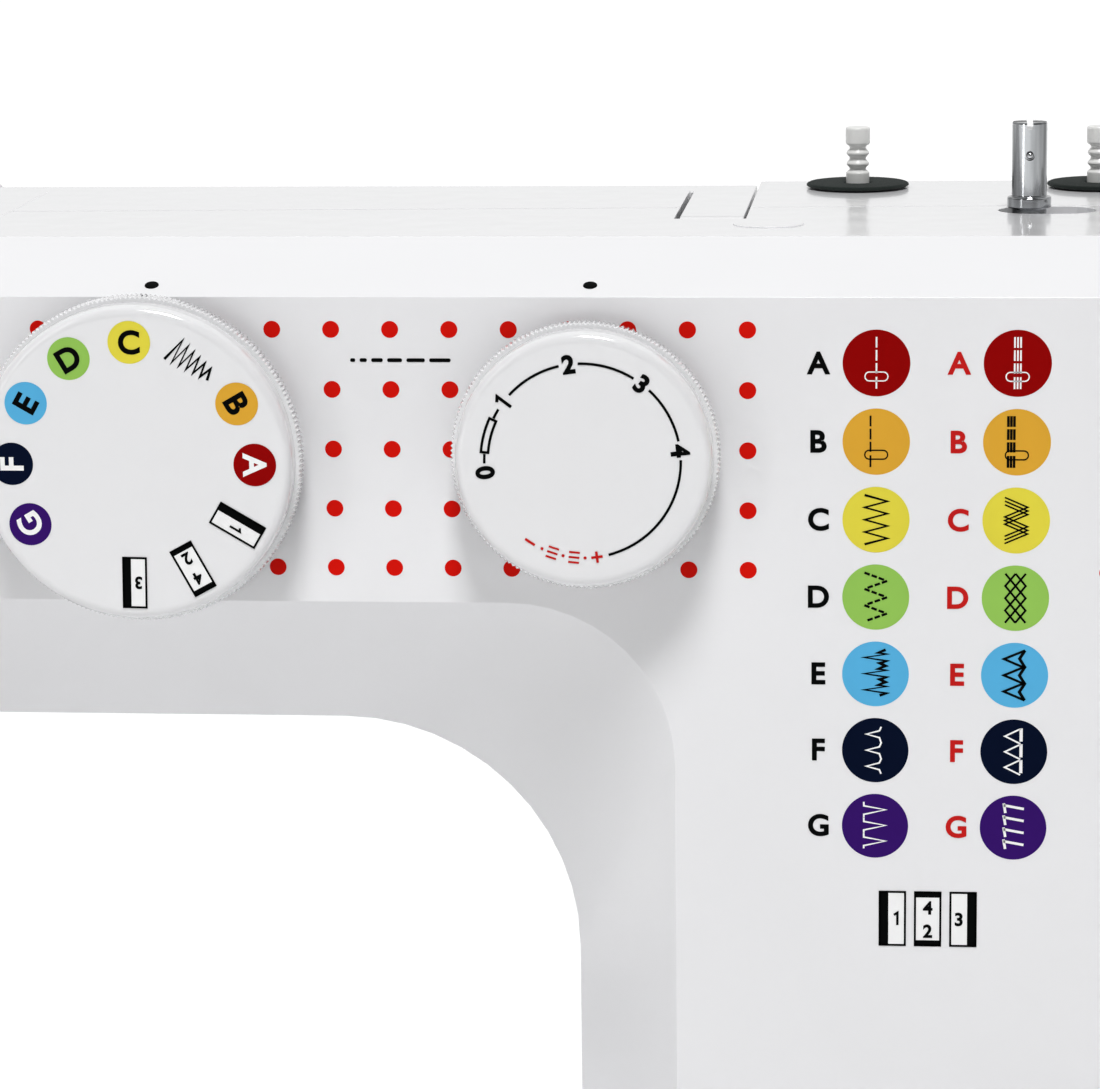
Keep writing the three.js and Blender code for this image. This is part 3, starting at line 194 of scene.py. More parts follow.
def fillet(points, radius, steps=5):
    """The open polyline with every inner corner rounded off to `radius`, or as far as its sides allow."""
    corners = [Vector(point) for point in points]
    made = [corners[0]]
    for before, corner, after in zip(corners, corners[1:], corners[2:]):
        into, out = (before - corner).normalized(), (after - corner).normalized()
        half = into.angle(out) / 2
        longest = 0.45 * min((before - corner).length, (after - corner).length)
        reach = min(radius / math.tan(half), longest)
        start, end = corner + into * reach, corner + out * reach
        for step in range(steps + 1):
            t = step / steps
            made.append(start * (1 - t) ** 2 + corner * 2 * t * (1 - t) + end * t ** 2)
    made.append(corners[-1])
    return [tuple(point) for point in made]


def turned(profile, axis, centre, sides=64, ripple=None):
    """A turned solid.

    The profile holds pairs of radius and place along the axis; ripple(angle, radius, along) may change
    the radius. The centre is a point whose value along the axis is not used.
    """
    across = {"x": (1, 2), "y": (2, 0), "z": (0, 1)}[axis]
    along_index = "xyz".index(axis)
    bm = bmesh.new()

    def point(radius, along, angle):
        place = [0.0, 0.0, 0.0]
        place[across[0]] = centre[across[0]] + radius * math.cos(angle)
        place[across[1]] = centre[across[1]] + radius * math.sin(angle)
        place[along_index] = along
        return place

    rings = []
    for radius, along in profile:
        if radius < 1e-7:
            rings.append([bm.verts.new(point(0, along, 0))])
            continue
        angles = [2 * math.pi * side / sides for side in range(sides)]
        rings.append([
            bm.verts.new(point(ripple(angle, radius, along) if ripple else radius, along, angle))
            for angle in angles
        ])
    for ring, after in zip(rings, rings[1:]):
        for side in range(sides):
            nearby = (side + 1) % sides
            corners = [ring[side % len(ring)], ring[nearby % len(ring)],
                       after[nearby % len(after)], after[side % len(after)]]
            distinct = list(dict.fromkeys(corners))
            if len(distinct) > 2:
                bm.faces.new(distinct)
    return bm


def flutes(count, depth, inside, power=1):
    """A ripple for turned(): even hollows in every ring that is wider than `inside`."""

    def ripple(angle, radius, along):
        wave = 0.5 - 0.5 * math.cos(count * angle)
        return radius - (depth * wave ** power if radius > inside else 0.0)

    return ripple


def tube(path, radius, sides=12):
    """A round rod along a list of points, closed at both ends."""
    points = [Vector(place) for place in path]
    bm = bmesh.new()
    side = None
    rings = []
    for index, place in enumerate(points):
        ahead = points[min(index + 1, len(points) - 1)] - points[max(index - 1, 0)]
        ahead.normalize()
        side = (side - ahead * side.dot(ahead)).normalized() if side else ahead.orthogonal().normalized()
        other = ahead.cross(side)
        angles = [2 * math.pi * step / sides for step in range(sides)]
        spokes = [side * math.cos(angle) + other * math.sin(angle) for angle in angles]
        rings.append([bm.verts.new(place + spoke * radius) for spoke in spokes])
    for ring, after in zip(rings, rings[1:]):
        for step in range(sides):
            nearby = (step + 1) % sides
            bm.faces.new([ring[step], ring[nearby], after[nearby], after[step]])
    bm.faces.new(rings[0])
    bm.faces.new(rings[-1])
    return bm


def slab(outline, axis, start, end):
    """An outline given a thickness along an axis. It holds the two other coordinates, in X, Y, Z order."""
    others = [index for index in range(3) if index != "xyz".index(axis)]
    bm = bmesh.new()

    def ring(along):
        made = []
        for pair in outline:
            place = [along, along, along]
            place[others[0]], place[others[1]] = pair
            made.append(bm.verts.new(place))
        return made

    first, last = ring(start), ring(end)
    bm.faces.new(first)
    bm.faces.new(last)
    for index in range(len(first)):
        nearby = (index + 1) % len(first)
        bm.faces.new([first[index], first[nearby], last[nearby], last[index]])
    return bm


def rectangle(centre, half):
    """The corners of a rectangle, from its middle and half its size each way."""
    signs = ((-1, -1), (1, -1), (1, 1), (-1, 1))
    return [(centre[0] + a * half[0], centre[1] + b * half[1]) for a, b in signs]


def rounded_box(low, high, radius, steps=6):
    """The outline of a rectangle with round corners, from its low to its high corner."""
    made = []
    for (sign_x, sign_y), start in zip(((1, -1), (1, 1), (-1, 1), (-1, -1)), (-90, 0, 90, 180)):
        centre_x = (high[0] - radius) if sign_x > 0 else (low[0] + radius)
        centre_y = (high[1] - radius) if sign_y > 0 else (low[1] + radius)
        for step in range(steps + 1):
            angle = math.radians(start + 90 * step / steps)
            made.append((centre_x + radius * math.cos(angle), centre_y + radius * math.sin(angle)))
    return made


def merged(parts):
    """Several bmeshes as one."""
    whole = bmesh.new()
    for part in parts:
        mesh = bpy.data.meshes.new("part")
        part.to_mesh(mesh)
        part.free()
        whole.from_mesh(mesh)
        bpy.data.meshes.remove(mesh)
    return whole


def carved(bm, tools):
    """The bmesh with the space of the tools taken out of it."""
    objects = []
    for source in (bm, merged(tools)):
        bmesh.ops.recalc_face_normals(source, faces=source.faces)
        mesh = bpy.data.meshes.new("carving")
        source.to_mesh(mesh)
        source.free()
        objects.append(bpy.data.objects.new("carving", mesh))
        bpy.context.scene.collection.objects.link(objects[-1])
    cutting = objects[0].modifiers.new("cut", "BOOLEAN")
    cutting.solver = "EXACT"
    cutting.object = objects[1]
    result = bmesh.new()
    result.from_object(objects[0], bpy.context.evaluated_depsgraph_get())
    for done in objects:
        bpy.data.meshes.remove(done.data)
    return result


SAME_PLACE = 0.002 * MM  # corners nearer than this are one


def eased(bm, width, crease=20.0, segments=2):
    """Coplanar faces are joined, then edges that turn more than `crease` degrees get a small round."""
    bmesh.ops.remove_doubles(bm, verts=bm.verts, dist=SAME_PLACE)
    bmesh.ops.dissolve_limit(bm, angle_limit=math.radians(0.3), verts=bm.verts, edges=bm.edges)
    sharp = [edge for edge in bm.edges
             if len(edge.link_faces) == 2 and edge.calc_face_angle(0.0) > math.radians(crease)]
    bmesh.ops.bevel(bm, geom=sharp, offset=width, offset_type="OFFSET", segments=segments, profile=0.5,
                    affect="EDGES", clamp_overlap=True)
    return bm


def softened(node, material, width=0.35 * MM, tools=(), crease=20.0, segments=2):
    """The CAD shape of a node with its hard edges eased, and with any tools carved out of it."""
    bm = bmesh.new()
    bm.from_mesh(frame["nodes"][node].data)
    # The import splits the corners of faces, so they are joined first.
    bmesh.ops.remove_doubles(bm, verts=bm.verts, dist=SAME_PLACE)
    if tools:
        bm = carved(bm, tools)
    bm = eased(bm, width, crease, segments)
    made = piece(f"{node}_moulding", bm, material, body_of(node), crease=35.0)
    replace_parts(made, node)
    return made


# ---- flat prints


CAPITAL_HEIGHT = 0.73  # of the font's size


def shifted(points, x, z):
    return [(point[0] + x, point[1] + z) for point in points]


class Print:
    """Flat printed shapes, gathered by ink, on an upright plane that faces the user.

    Shapes are given in metres across and up from an origin. A higher layer lies a little in front.
    """

    LIFT = 0.03 * MM

    def __init__(self, name, body, plane, origin=(0.0, 0.0)):
        self.name, self.body, self.plane, self.origin = name, body, plane, origin
        self.shapes = {}
        self.frame = (0.0, 0.0, 0.0)

    def at(self, x, z, turn=0.0):
        """Sets where the next shapes go, and how far they are turned clockwise, in degrees."""
        self.frame = (x, z, math.radians(-turn))

    def place(self, point):
        x, z, angle = self.frame
        turned_x = point[0] * math.cos(angle) - point[1] * math.sin(angle)
        turned_z = point[0] * math.sin(angle) + point[1] * math.cos(angle)
        return (self.origin[0] + x + turned_x, self.origin[1] + z + turned_z)

    def polygon(self, colour, points, layer=0):
        self.shapes.setdefault(colour, []).append(([self.place(point) for point in points], layer))

    def disc(self, colour, radius, layer=0, sides=48):
        angles = [2 * math.pi * side / sides for side in range(sides)]
        self.polygon(colour, [(radius * math.cos(a), radius * math.sin(a)) for a in angles], layer)

    def bar(self, colour, low, high, layer=0):
        self.polygon(colour, [low, (high[0], low[1]), high, (low[0], high[1])], layer)

    def stroke(self, colour, points, width, layer=1, closed=False):
        """A line of even width with mitred corners."""
        line = [Vector(point) for point in points]
        count = len(line)
        left, right = [], []
        for index, place in enumerate(line):
            before = line[index - 1] if index or closed else None
            after = line[(index + 1) % count] if index + 1 < count or closed else None
            into = (place - before).normalized() if before is not None else (after - place).normalized()
            out = (after - place).normalized() if after is not None else into
            normal = Vector((-into.y - out.y, into.x + out.x))
            normal = normal.normalized() if normal.length > 1e-6 else Vector((-into.y, into.x))
            stretch = min(2.5, 1 / max(0.2, normal.dot(Vector((-into.y, into.x)))))
            left.append(place + normal * width / 2 * stretch)
            right.append(place - normal * width / 2 * stretch)
        spans = range(count if closed else count - 1)
        for index in spans:
            nearby = (index + 1) % count
            self.polygon(colour, [left[index], left[nearby], right[nearby], right[index]], layer)

    def dashes(self, colour, points, width, dash, gap, layer=1):
        """A broken line along a polyline; each straight run starts with a dash."""
        for start, end in zip(points, points[1:]):
            run = Vector(end) - Vector(start)
            along = run.normalized()
            done = 0.0
            while done < run.length - gap:
                stop = min(done + dash, run.length)
                ends = [Vector(start) + along * done, Vector(start) + along * stop]
                self.stroke(colour, ends, width, layer)
                done = stop + gap

    def glyph(self, colour, text, height, layer=1, weight=0.03, offset=(0.0, 0.0)):
        """One index letter or number, its middle at an offset from the set place."""
        if text == "1":
            stem, half = 0.17 * height, height / 2
            flag = (-0.2 * height, half - 0.22 * height)
            peak = (0.06 * height, half - 0.05 * height)
            points = [flag, peak, (0.06 * height, -half)]
            self.stroke(colour, shifted(points, *offset), stem, layer)
            return
        curve = bpy.data.curves.new("glyph", "FONT")
        curve.body = text
        curve.size = height / CAPITAL_HEIGHT
        curve.offset = weight * curve.size
        curve.resolution_u = 6
        letter = bpy.data.objects.new("glyph", curve)
        bpy.context.scene.collection.objects.link(letter)
        mesh = bpy.data.meshes.new_from_object(letter.evaluated_get(bpy.context.evaluated_depsgraph_get()))
        corners = [vertex.co for vertex in mesh.vertices]
        centre_x = (min(c.x for c in corners) + max(c.x for c in corners)) / 2
        centre_y = (min(c.y for c in corners) + max(c.y for c in corners)) / 2
        for face in mesh.polygons:
            points = [mesh.vertices[index].co for index in face.vertices]
            self.polygon(colour, shifted(points, offset[0] - centre_x, offset[1] - centre_y), layer)
        bpy.data.objects.remove(letter)
        bpy.data.curves.remove(curve)
        bpy.data.meshes.remove(mesh)

    def make(self):
        for colour, shapes in self.shapes.items():
            bm = bmesh.new()
            for outline, layer in shapes:
                depth = self.plane - self.LIFT * (1 + layer)
                bm.faces.new([bm.verts.new((x, depth, z)) for x, z in outline])
            for face in bm.faces:
                face.normal_update()
                if face.normal.y > 0:
                    face.normal_flip()
            mesh = bpy.data.meshes.new(f"{self.name}_{colour}")
            bm.to_mesh(mesh)
            bm.free()
            mesh.materials.append(PRINTED[colour])
            made = bpy.data.objects.new(f"{self.name}_{colour}", mesh)
            bpy.context.scene.collection.objects.link(made)
            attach(made, self.body)


# ---- casings

SEAM_EASE = 0.45 * MM


def vent_slots(count, pitch, width, length, centre, depth):
    """Round-ended slots side by side, to be cut through the rear wall."""
    tools = []
    for index in range(count):
        x = centre[0] + (index - (count - 1) / 2) * pitch
        low = (x - width / 2, centre[1] - length / 2)
        high = (x + width / 2, centre[1] + length / 2)
        tools.append(slab(rounded_box(low, high, width / 2 - 0.01 * MM), "y", *depth))
    return tools


def casings():
    motor = middle("motor")
    vents = vent_slots(9, 6.5 * MM, 2.6 * MM, 26 * MM, (motor.x, motor.z), (REAR - 9 * MM, REAR + 5 * MM))
    for node in ("front_cover", "rear_cover", "side_cover", "face_cover", "lower_housing"):
        softened(node, WHITE, SEAM_EASE, tools=vents if node == "rear_cover" else ())
    softened("base_plate", WHITE, 0.6 * MM)
    for node in ("free_arm_cover", "extension_table"):
        softened(node, WHITE, SEAM_EASE)
    softened("accessory_lid", WHITE, 0.4 * MM)
    softened("carry_handle", WHITE, 0.35 * MM, segments=3)


def screw_head(name, place, axis, sign, radius=3.2 * MM, body="root"):
    """A domed cross-head screw, its head standing a millimetre proud on the `sign` side of a wall."""
    index = "xyz".index(axis)
    seat = place[index]
    height = 1.3 * MM
    top = seat + sign * height
    profile = [
        (0, seat), (radius, seat), (radius, seat + sign * 0.4 * height),
        (radius * 0.86, seat + sign * 0.75 * height), (radius * 0.5, top), (0, top),
    ]
    head = turned(fillet(profile, 0.3 * MM, 2), axis, place, sides=32)
    arms = []
    for swap in (False, True):
        half = (radius * 0.6, radius * 0.14) if not swap else (radius * 0.14, radius * 0.6)
        others = [place[i] for i in range(3) if i != index]
        start, end = seat + sign * 0.35 * height, seat + sign * 2 * height
        arms.append(slab(rectangle(others, half), axis, start, end))
    head = carved(carved(head, [arms[0]]), [arms[1]])
    return piece(name, head, STEEL, body)


REAR_SLOPE = 0.0149  # the rear wall comes forward by this much of its length towards the head
SCREW_SINK = 0.2 * MM


def case_screws():
    """Three screws in the rear cover and one in the face cover."""
    right, high = RIGHT - 28 * MM, TOP - 55 * MM
    spots = [(right, BED_TOP + 16 * MM), (right, high), (middle("needle").x, high)]
    for index, (x, z) in enumerate(spots):
        depth = REAR - SCREW_SINK + (x - RIGHT) * REAR_SLOPE
        screw_head(f"rear_screw_{index}", (x, depth, z), "y", 1)
    place = (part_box("face_cover")[0].x + SCREW_SINK, 20 * MM, TOP - 84 * MM)
    screw_head("face_cover_screw", place, "x", -1, body="face_cover")


# ---- dials

DIAL_BACK = FACE - 0.4 * MM
FLANGE_FRONT = DIAL_BACK - 6.2 * MM
FLANGE_BACK = DIAL_BACK - 2.8 * MM
FLANGE_GROWTH = 0.65 * MM
RIB_PITCH = 0.8 * MM
RIB_DEPTH = 0.32 * MM


def knurled_dial(node):
    """A glossy dial: flat front, round shoulder, a flange of fine ribs, and a neck next to the casing."""
    low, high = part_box(node)
    centre = (low + high) / 2
    radius = (high.x - low.x) / 2
    ribs = round(2 * math.pi * radius / RIB_PITCH)
    flange = radius + FLANGE_GROWTH
    neck = radius - 3.5 * MM
    shaft = 4 * MM
    shoulder = fillet([
        (radius - 9 * MM, low.y),
        (radius - 0.5 * MM, low.y + 0.05 * MM),
        (radius - 0.35 * MM, FLANGE_FRONT),
    ], 2.4 * MM, 9)
    profile = [
        (0, low.y), *shoulder,
        (flange - 0.2 * MM, FLANGE_FRONT + 0.1 * MM), (flange, FLANGE_FRONT + 0.4 * MM),
        (flange, FLANGE_BACK - 0.3 * MM), (flange - 0.3 * MM, FLANGE_BACK),
        (neck, FLANGE_BACK), (neck, DIAL_BACK), (shaft, DIAL_BACK), (shaft, high.y), (0, high.y),
    ]
    knob = turned(profile, "y", centre, ribs * 4, flutes(ribs, RIB_DEPTH, radius))
    made = piece(f"{node}_knob", knob, DIAL_WHITE, node, crease=50)
    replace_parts(made, node)
    return low.y, centre, radius


def on_clock(radius, degrees):
    """The place at a clock angle, clockwise from the top."""
    return radius * math.sin(math.radians(degrees)), radius * math.cos(math.radians(degrees))


def clock_arc(radius, start, end, steps=24):
    return [on_clock(radius, start + (end - start) * step / steps) for step in range(steps + 1)]


def step_box(page, label, scale=1.0):
    """A buttonhole step sign: a box, a black bar on the side that is sewn, and its number."""
    half_w, half_h, line = 2.15 * MM * scale, 4.7 * MM * scale, 0.34 * MM
    page.bar("white", (-half_w, -half_h), (half_w, half_h), layer=1)
    page.stroke("black", rectangle((0, 0), (half_w, half_h)), line, layer=2, closed=True)
    side = 1.45 * MM * scale
    end = 0.9 * MM * scale
    if label == "1":
        page.bar("black", (-half_w, -half_h), (-half_w + side, half_h), layer=2)
        marks = [("1", side / 2, 0.0)]
    elif label == "3":
        page.bar("black", (half_w - side, -half_h), (half_w, half_h), layer=2)
        marks = [("3", -side / 2, 0.0)]
    else:
        page.bar("black", (-half_w, half_h - end), (half_w, half_h), layer=2)
        page.bar("black", (-half_w, -half_h), (half_w, -half_h + end), layer=2)
        marks = [("4", 0.0, half_h * 0.42), ("2", 0.0, -half_h * 0.46)]
    for text, across, up in marks:
        page.glyph("black", text, 2.3 * MM * scale, layer=3, offset=(across, up))


STITCH_ROWS = [
    ("A", "crimson", "white"), ("B", "orange", "black"), ("C", "yellow", "black"), ("D", "green", "black"),
    ("E", "blue", "black"), ("F", "navy", "white"), ("G", "purple", "white"),
]


def pattern_dial():
    front, centre, radius = knurled_dial("pattern_dial")
    page = Print("pattern_mark", "pattern_dial", front, (centre.x, centre.z))
    ring = radius - 6.5 * MM
    turns = {"C": 0, "B": 60, "A": 90, "G": 240, "F": 270, "E": 300, "D": 330}
    colours = {letter: (disc, text) for letter, disc, text in STITCH_ROWS}
    for letter, turn in turns.items():
        disc, text = colours[letter]
        page.at(*on_clock(ring, turn), turn)
        page.disc(disc, 3.6 * MM)
        page.glyph(text, letter, 3.95 * MM)
    for label, turn in (("1", 120.5), ("4/2", 151.5), ("3", 181)):
        page.at(*on_clock(ring - 0.4 * MM, turn), turn)
        step_box(page, label, 0.9)
    page.at(*on_clock(ring - 0.4 * MM, 31), 37)
    points = []
    peaks = 6
    for index in range(2 * peaks + 1):
        share = index / (2 * peaks)
        swing = (2.3 - 1.4 * share) * MM
        points.append(((-3.9 + 7.8 * share) * MM, swing * (1 if index % 2 else -1)))
    page.stroke("black", points, 0.46 * MM)
    page.make()


def length_dial():
    front, centre, radius = knurled_dial("length_dial")
    page = Print("length_mark", "length_dial", front, (centre.x, centre.z))
    ring = radius - 5.6 * MM
    numbers = {"0": -97, "1": -53, "2": -7.6, "3": 37.5, "4": 83.5}
    line = 0.42 * MM
    clear = 5.6  # degrees of arc left free beside a number
    stops = list(numbers.values())
    for start, end in zip(stops[1:], stops[2:] + [165 + clear]):
        page.stroke("black", clock_arc(ring, start + clear, end - clear), line)
    page.stroke("black", clock_arc(ring, -91.5, -86, 2), line)
    page.stroke("black", clock_arc(ring, -64, -58, 2), line)
    sleeve = clock_arc(ring + 0.6 * MM, -85, -65, 8) + clock_arc(ring - 0.6 * MM, -65, -85, 8)
    page.stroke("black", sleeve, line, closed=True)
    for text, turn in numbers.items():
        page.at(*on_clock(ring, turn), turn)
        page.glyph("black", text, 3.05 * MM, weight=0.04)
    arm = 0.95 * MM
    page.at(*on_clock(ring, 172), 172)
    page.stroke("red_letter", [(-arm, 0), (arm, 0)], line)
    page.stroke("red_letter", [(0, -arm), (0, arm)], line, layer=2)
    page.at(*on_clock(ring, 213), 213)
    page.stroke("red_letter", [(-arm, 0), (arm, 0)], line)
    for turn in (179, 192, 205):
        page.at(*on_clock(ring, turn), turn)
        page.disc("red_letter", 0.26 * MM, layer=1, sides=16)
    for turn in (185.5, 198.5):  # stands for the triple stretch stitch
        page.at(*on_clock(ring, turn), turn)
        for row in (-1, 0, 1):
            height = row * 0.85 * MM
            page.stroke("red_letter", [(-0.9 * MM, height), (0.9 * MM, height)], 0.32 * MM)
    page.make()


def tension_dial():
    """A thin wheel with a toothed rim, seen edge-on in its slot."""
    low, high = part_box("tension_dial")
    centre = (low + high) / 2
    radius = (high.z - low.z) / 2
    teeth = 48
    edge = 0.9 * MM
    flat = radius - 1.2 * MM
    profile = fillet([
        (0, low.x), (flat, low.x), (radius, low.x + edge),
        (radius, high.x - edge), (flat, high.x), (0, high.x),
    ], 0.4 * MM, 3)
    wheel = turned(profile, "x", centre, teeth * 6, flutes(teeth, 0.35 * MM, radius - 0.5 * MM))
    made = piece("tension_dial_wheel", wheel, DIAL_WHITE, "tension_dial", 40)
    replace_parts(made, "tension_dial")


# ---- prints on the casing

GRID = 10 * MM
DOT_ROW = 10.2 * MM
DOT_RADIUS = 1.43 * MM
DOT_RIGHT = middle("length_dial").x + 26.8 * MM
DOT_TOP = middle("length_dial").z + 20.3 * MM


def polka_dots(page):
    for row in range(5):
        for column in range(16):
            page.at(DOT_RIGHT - column * GRID, DOT_TOP - row * DOT_ROW)
            page.disc("red_dot", DOT_RADIUS)
    for column in range(6, 9):
        page.at(DOT_RIGHT + column * GRID, DOT_TOP - 4 * DOT_ROW)
        page.disc("red_dot", DOT_RADIUS)


def length_sign(page):
    """Dots that grow into dashes: the sign for stitch length."""
    page.at(middle("length_dial").x - 40 * MM, DOT_TOP - 5.2 * MM)
    thick, gap = 0.62 * MM, 0.76 * MM
    x = 0.0
    for length in (0.85, 1.2, 1.95, 2.5, 3.1, 3.6):
        outline = rounded_box((x, -thick / 2), (x + length * MM, thick / 2), 0.25 * MM, 3)
        page.polygon("black", outline, layer=1)
        x += length * MM + gap


def zigzag(points_across, top, bottom, swing, start=-1):
    """Points from top to bottom that swing from side to side."""
    return [
        (swing * (start if index % 2 == 0 else -start), top + (bottom - top) * index / points_across)
        for index in range(points_across + 1)
    ]


SIGN_TOP, SIGN_BOTTOM, SIGN_SWING = 4.2 * MM, -4.2 * MM, 1.9 * MM


def straight_stitch(page, colour, x, width, slot_z, stretch):
    """A row of dashes, or three rows for the stretch version, and the needle plate's slot."""
    for row in (-1, 0, 1) if stretch else (0,):
        across = x + row * 0.5 * MM
        for top, bottom in ((4.4, 2.6), (2.2, 0.4), (0.0, -1.7), (-2.3, -4.3)):
            page.stroke(colour, [(across, top * MM), (across, bottom * MM)], width)
    slot = rounded_box((-1.9 * MM, slot_z - 0.75 * MM), (1.9 * MM, slot_z + 0.75 * MM), 0.72 * MM, 4)
    page.stroke(colour, slot, 0.22 * MM, layer=1, closed=True)


def middle_sign(page, colour, thin, stretch):
    straight_stitch(page, colour, 0.0, thin, -2.25 * MM, stretch)


def left_sign(page, colour, thin, stretch):
    straight_stitch(page, colour, -0.95 * MM, 0.42 * MM if stretch else 0.3 * MM, -2.2 * MM, stretch)


def zigzag_sign(page, colour, thin, stretch):
    if not stretch:
        page.stroke(colour, zigzag(8, SIGN_TOP, SIGN_BOTTOM, SIGN_SWING), thin)
        return
    line = zigzag(4, SIGN_TOP - 0.9 * MM, SIGN_BOTTOM + 0.9 * MM, SIGN_SWING)
    for row in (1, 0, -1):
        page.stroke(colour, shifted(line, 0, row * 0.62 * MM), 0.26 * MM)


def lattice_sign(page, colour, thin, stretch):
    if not stretch:
        page.dashes(colour, zigzag(6, SIGN_TOP, SIGN_BOTTOM, SIGN_SWING), thin, 0.95 * MM, 0.32 * MM)
        return
    leg = (SIGN_TOP - SIGN_BOTTOM) / 2
    swing, line = 1.7 * MM, 0.34 * MM
    for start in (-1, 1):
        page.stroke(colour, zigzag(2, SIGN_TOP, SIGN_BOTTOM, swing, start), line)
        inner = zigzag(1, SIGN_TOP - leg / 2, SIGN_BOTTOM + leg / 2, swing, start)
        page.stroke(colour, [(0, SIGN_TOP), *inner, (0, SIGN_BOTTOM)], line)


def repeated(bite, top, pitch):
    """Three times the points of a bite, given in millimetres across and down, from the top down."""
    tops = [top - pitch * repeat for repeat in range(3)]
    return [(across * MM, (start - down) * MM) for start in tops for across, down in bite]


def triangles(page, colour, line, base, point, pitch, half):
    """Three triangles above each other, each with its point to the left and its base on the right."""
    for repeat in (1, 0, -1):
        z = repeat * pitch
        page.stroke(colour, [(base, z + half), (point, z), (base, z - half)], line)


def spike_sign(page, colour, thin, stretch):
    """Three long spikes to the left, with small teeth on the right between them."""
    if stretch:
        triangles(page, colour, thin, 1.7 * MM, -1.8 * MM, 2.8 * MM, 1.5 * MM)
        wave = zigzag(6, SIGN_TOP + 0.1 * MM, SIGN_BOTTOM - 0.1 * MM, 0.45 * MM, 1)
        page.stroke(colour, shifted(wave, 1.25 * MM, 0), 0.5 * MM)
        return
    spike = [(1.7, 0), (0.4, 0.55), (1.9, 0.75), (-1.9, 1.35), (1.9, 1.9), (0.7, 2.3)]
    page.stroke(colour, repeated(spike, 4.2, 2.8), 0.5 * MM)


def blind_hem_sign(page, colour, thin, stretch):
    if stretch:
        triangles(page, colour, thin, 1.1 * MM, -1.5 * MM, 2.7 * MM, 1.3 * MM)
        page.dashes(colour, [(1.2 * MM, 4.1 * MM), (1.2 * MM, -4.1 * MM)], 0.55 * MM, 2.3 * MM, 0.45 * MM)
        return
    bite = [(1.0, 0), (0.7, 0.7), (-1.5, 1.3), (0.7, 1.9)]
    page.stroke(colour, [*repeated(bite, 4.1, 2.8), (1.0 * MM, -4.1 * MM)], thin)


def shell_sign(page, colour, thin, stretch):
    if stretch:
        for repeat in range(4):
            z = (3.9 - 2.1 * repeat) * MM
            page.stroke(colour, [(-1.6 * MM, z), (1.8 * MM, z - 0.6 * MM)], 0.45 * MM)
            page.stroke(colour, [(-1.6 * MM, z + 0.35 * MM), (-1.3 * MM, z - 1.35 * MM)], 0.45 * MM)
        return
    bite = [(-1.9, 0), (-1.9, 0.7), (1.8, 1.35), (-1.9, 2.2), (-1.9, 2.7)]
    for repeat in range(3):
        z = (4.2 - 2.75 * repeat) * MM
        page.stroke(colour, [(across * MM, z - down * MM) for across, down in bite], thin)


# The little drawings of the stitches. Each has a stretch version, for the right-hand column.
SIGNS = {
    "A": middle_sign, "B": left_sign, "C": zigzag_sign, "D": lattice_sign, "E": spike_sign,
    "F": blind_hem_sign, "G": shell_sign,
}


def stitch_chart(page):
    """Seven stitches in two columns, each a disc with a drawing and a letter, and the buttonhole steps."""
    origin = middle("length_dial")
    columns = (origin.x + 48.2 * MM, origin.x + 71.5 * MM)
    first, pitch = origin.z + 14.8 * MM, 13.25 * MM
    letter_gap = 9.6 * MM
    for row, (letter, disc, mark) in enumerate(STITCH_ROWS):
        z = first - row * pitch
        for x, stretch in zip(columns, (False, True)):
            page.at(x, z)
            page.disc(disc, 5.6 * MM, layer=0, sides=72)
            SIGNS[letter](page, mark, (0.3 if mark == "white" else 0.4) * MM, stretch)
            page.at(x - letter_gap, z)
            page.glyph("red_letter" if stretch else "black", letter, 3.75 * MM)
    for label, offset in (("1", 51.2), ("4/2", 57.2), ("3", 63.2)):
        page.at(origin.x + offset * MM, origin.z - 81 * MM)
        step_box(page, label)


def casing_prints():
    page = Print("face_print", "root", FACE)
    polka_dots(page)
    length_sign(page)
    stitch_chart(page)
    page.make()


def index_marks():
    """The round marks on the slope above each dial, which its setting is read against."""
    rise, run = 7.7 * MM, 20 * MM
    for name in ("pattern_dial", "length_dial"):
        x = middle(name).x + (1.2 if name == "pattern_dial" else 0.3) * MM
        y = FACE + 3.7 * MM
        z = TOP - rise + rise * (y - FACE) / run
        profile = [(0, 0.16 * MM), (1.15 * MM, 0.16 * MM), (1.25 * MM, -0.2 * MM), (0, -0.2 * MM)]
        mark = turned(fillet(profile, 0.1 * MM, 2), "z", (0, 0, 0), 40)
        tilt = Matrix.Rotation(math.atan2(rise, run), 4, "X")
        bmesh.ops.transform(mark, matrix=Matrix.Translation((x, y, z)) @ tilt, verts=mark.verts)
        piece(f"{name}_index", mark, PRINTED["black"], "root")


# ---- top fittings


def spool_pin(node):
    """A moulded reel pin: a plain cap, two ribs between three grooves, and a plain shank below."""
    low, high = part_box(node)
    centre = (low + high) / 2
    radius = (high.x - low.x) / 2
    top = high.z
    neck = radius - 0.75 * MM
    shank = radius - 0.1 * MM
    steps = [
        (0, 0), (radius, 0), (radius, 3.1), (neck, 3.7), (neck, 4.1), (radius, 4.9), (neck, 5.7),
        (neck, 6.1), (radius, 6.9), (neck, 7.6), (neck, 8.0), (shank, 8.5), (shank, 12),
    ]
    profile = fillet([(reach, top - depth * MM) for reach, depth in steps], 0.55 * MM, 4)
    profile += [(shank, low.z), (0, low.z)]
    made = piece(f"{node}_ribbed", turned(profile, "z", centre, 64), CREAM, node, crease=60)
    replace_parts(made, node)


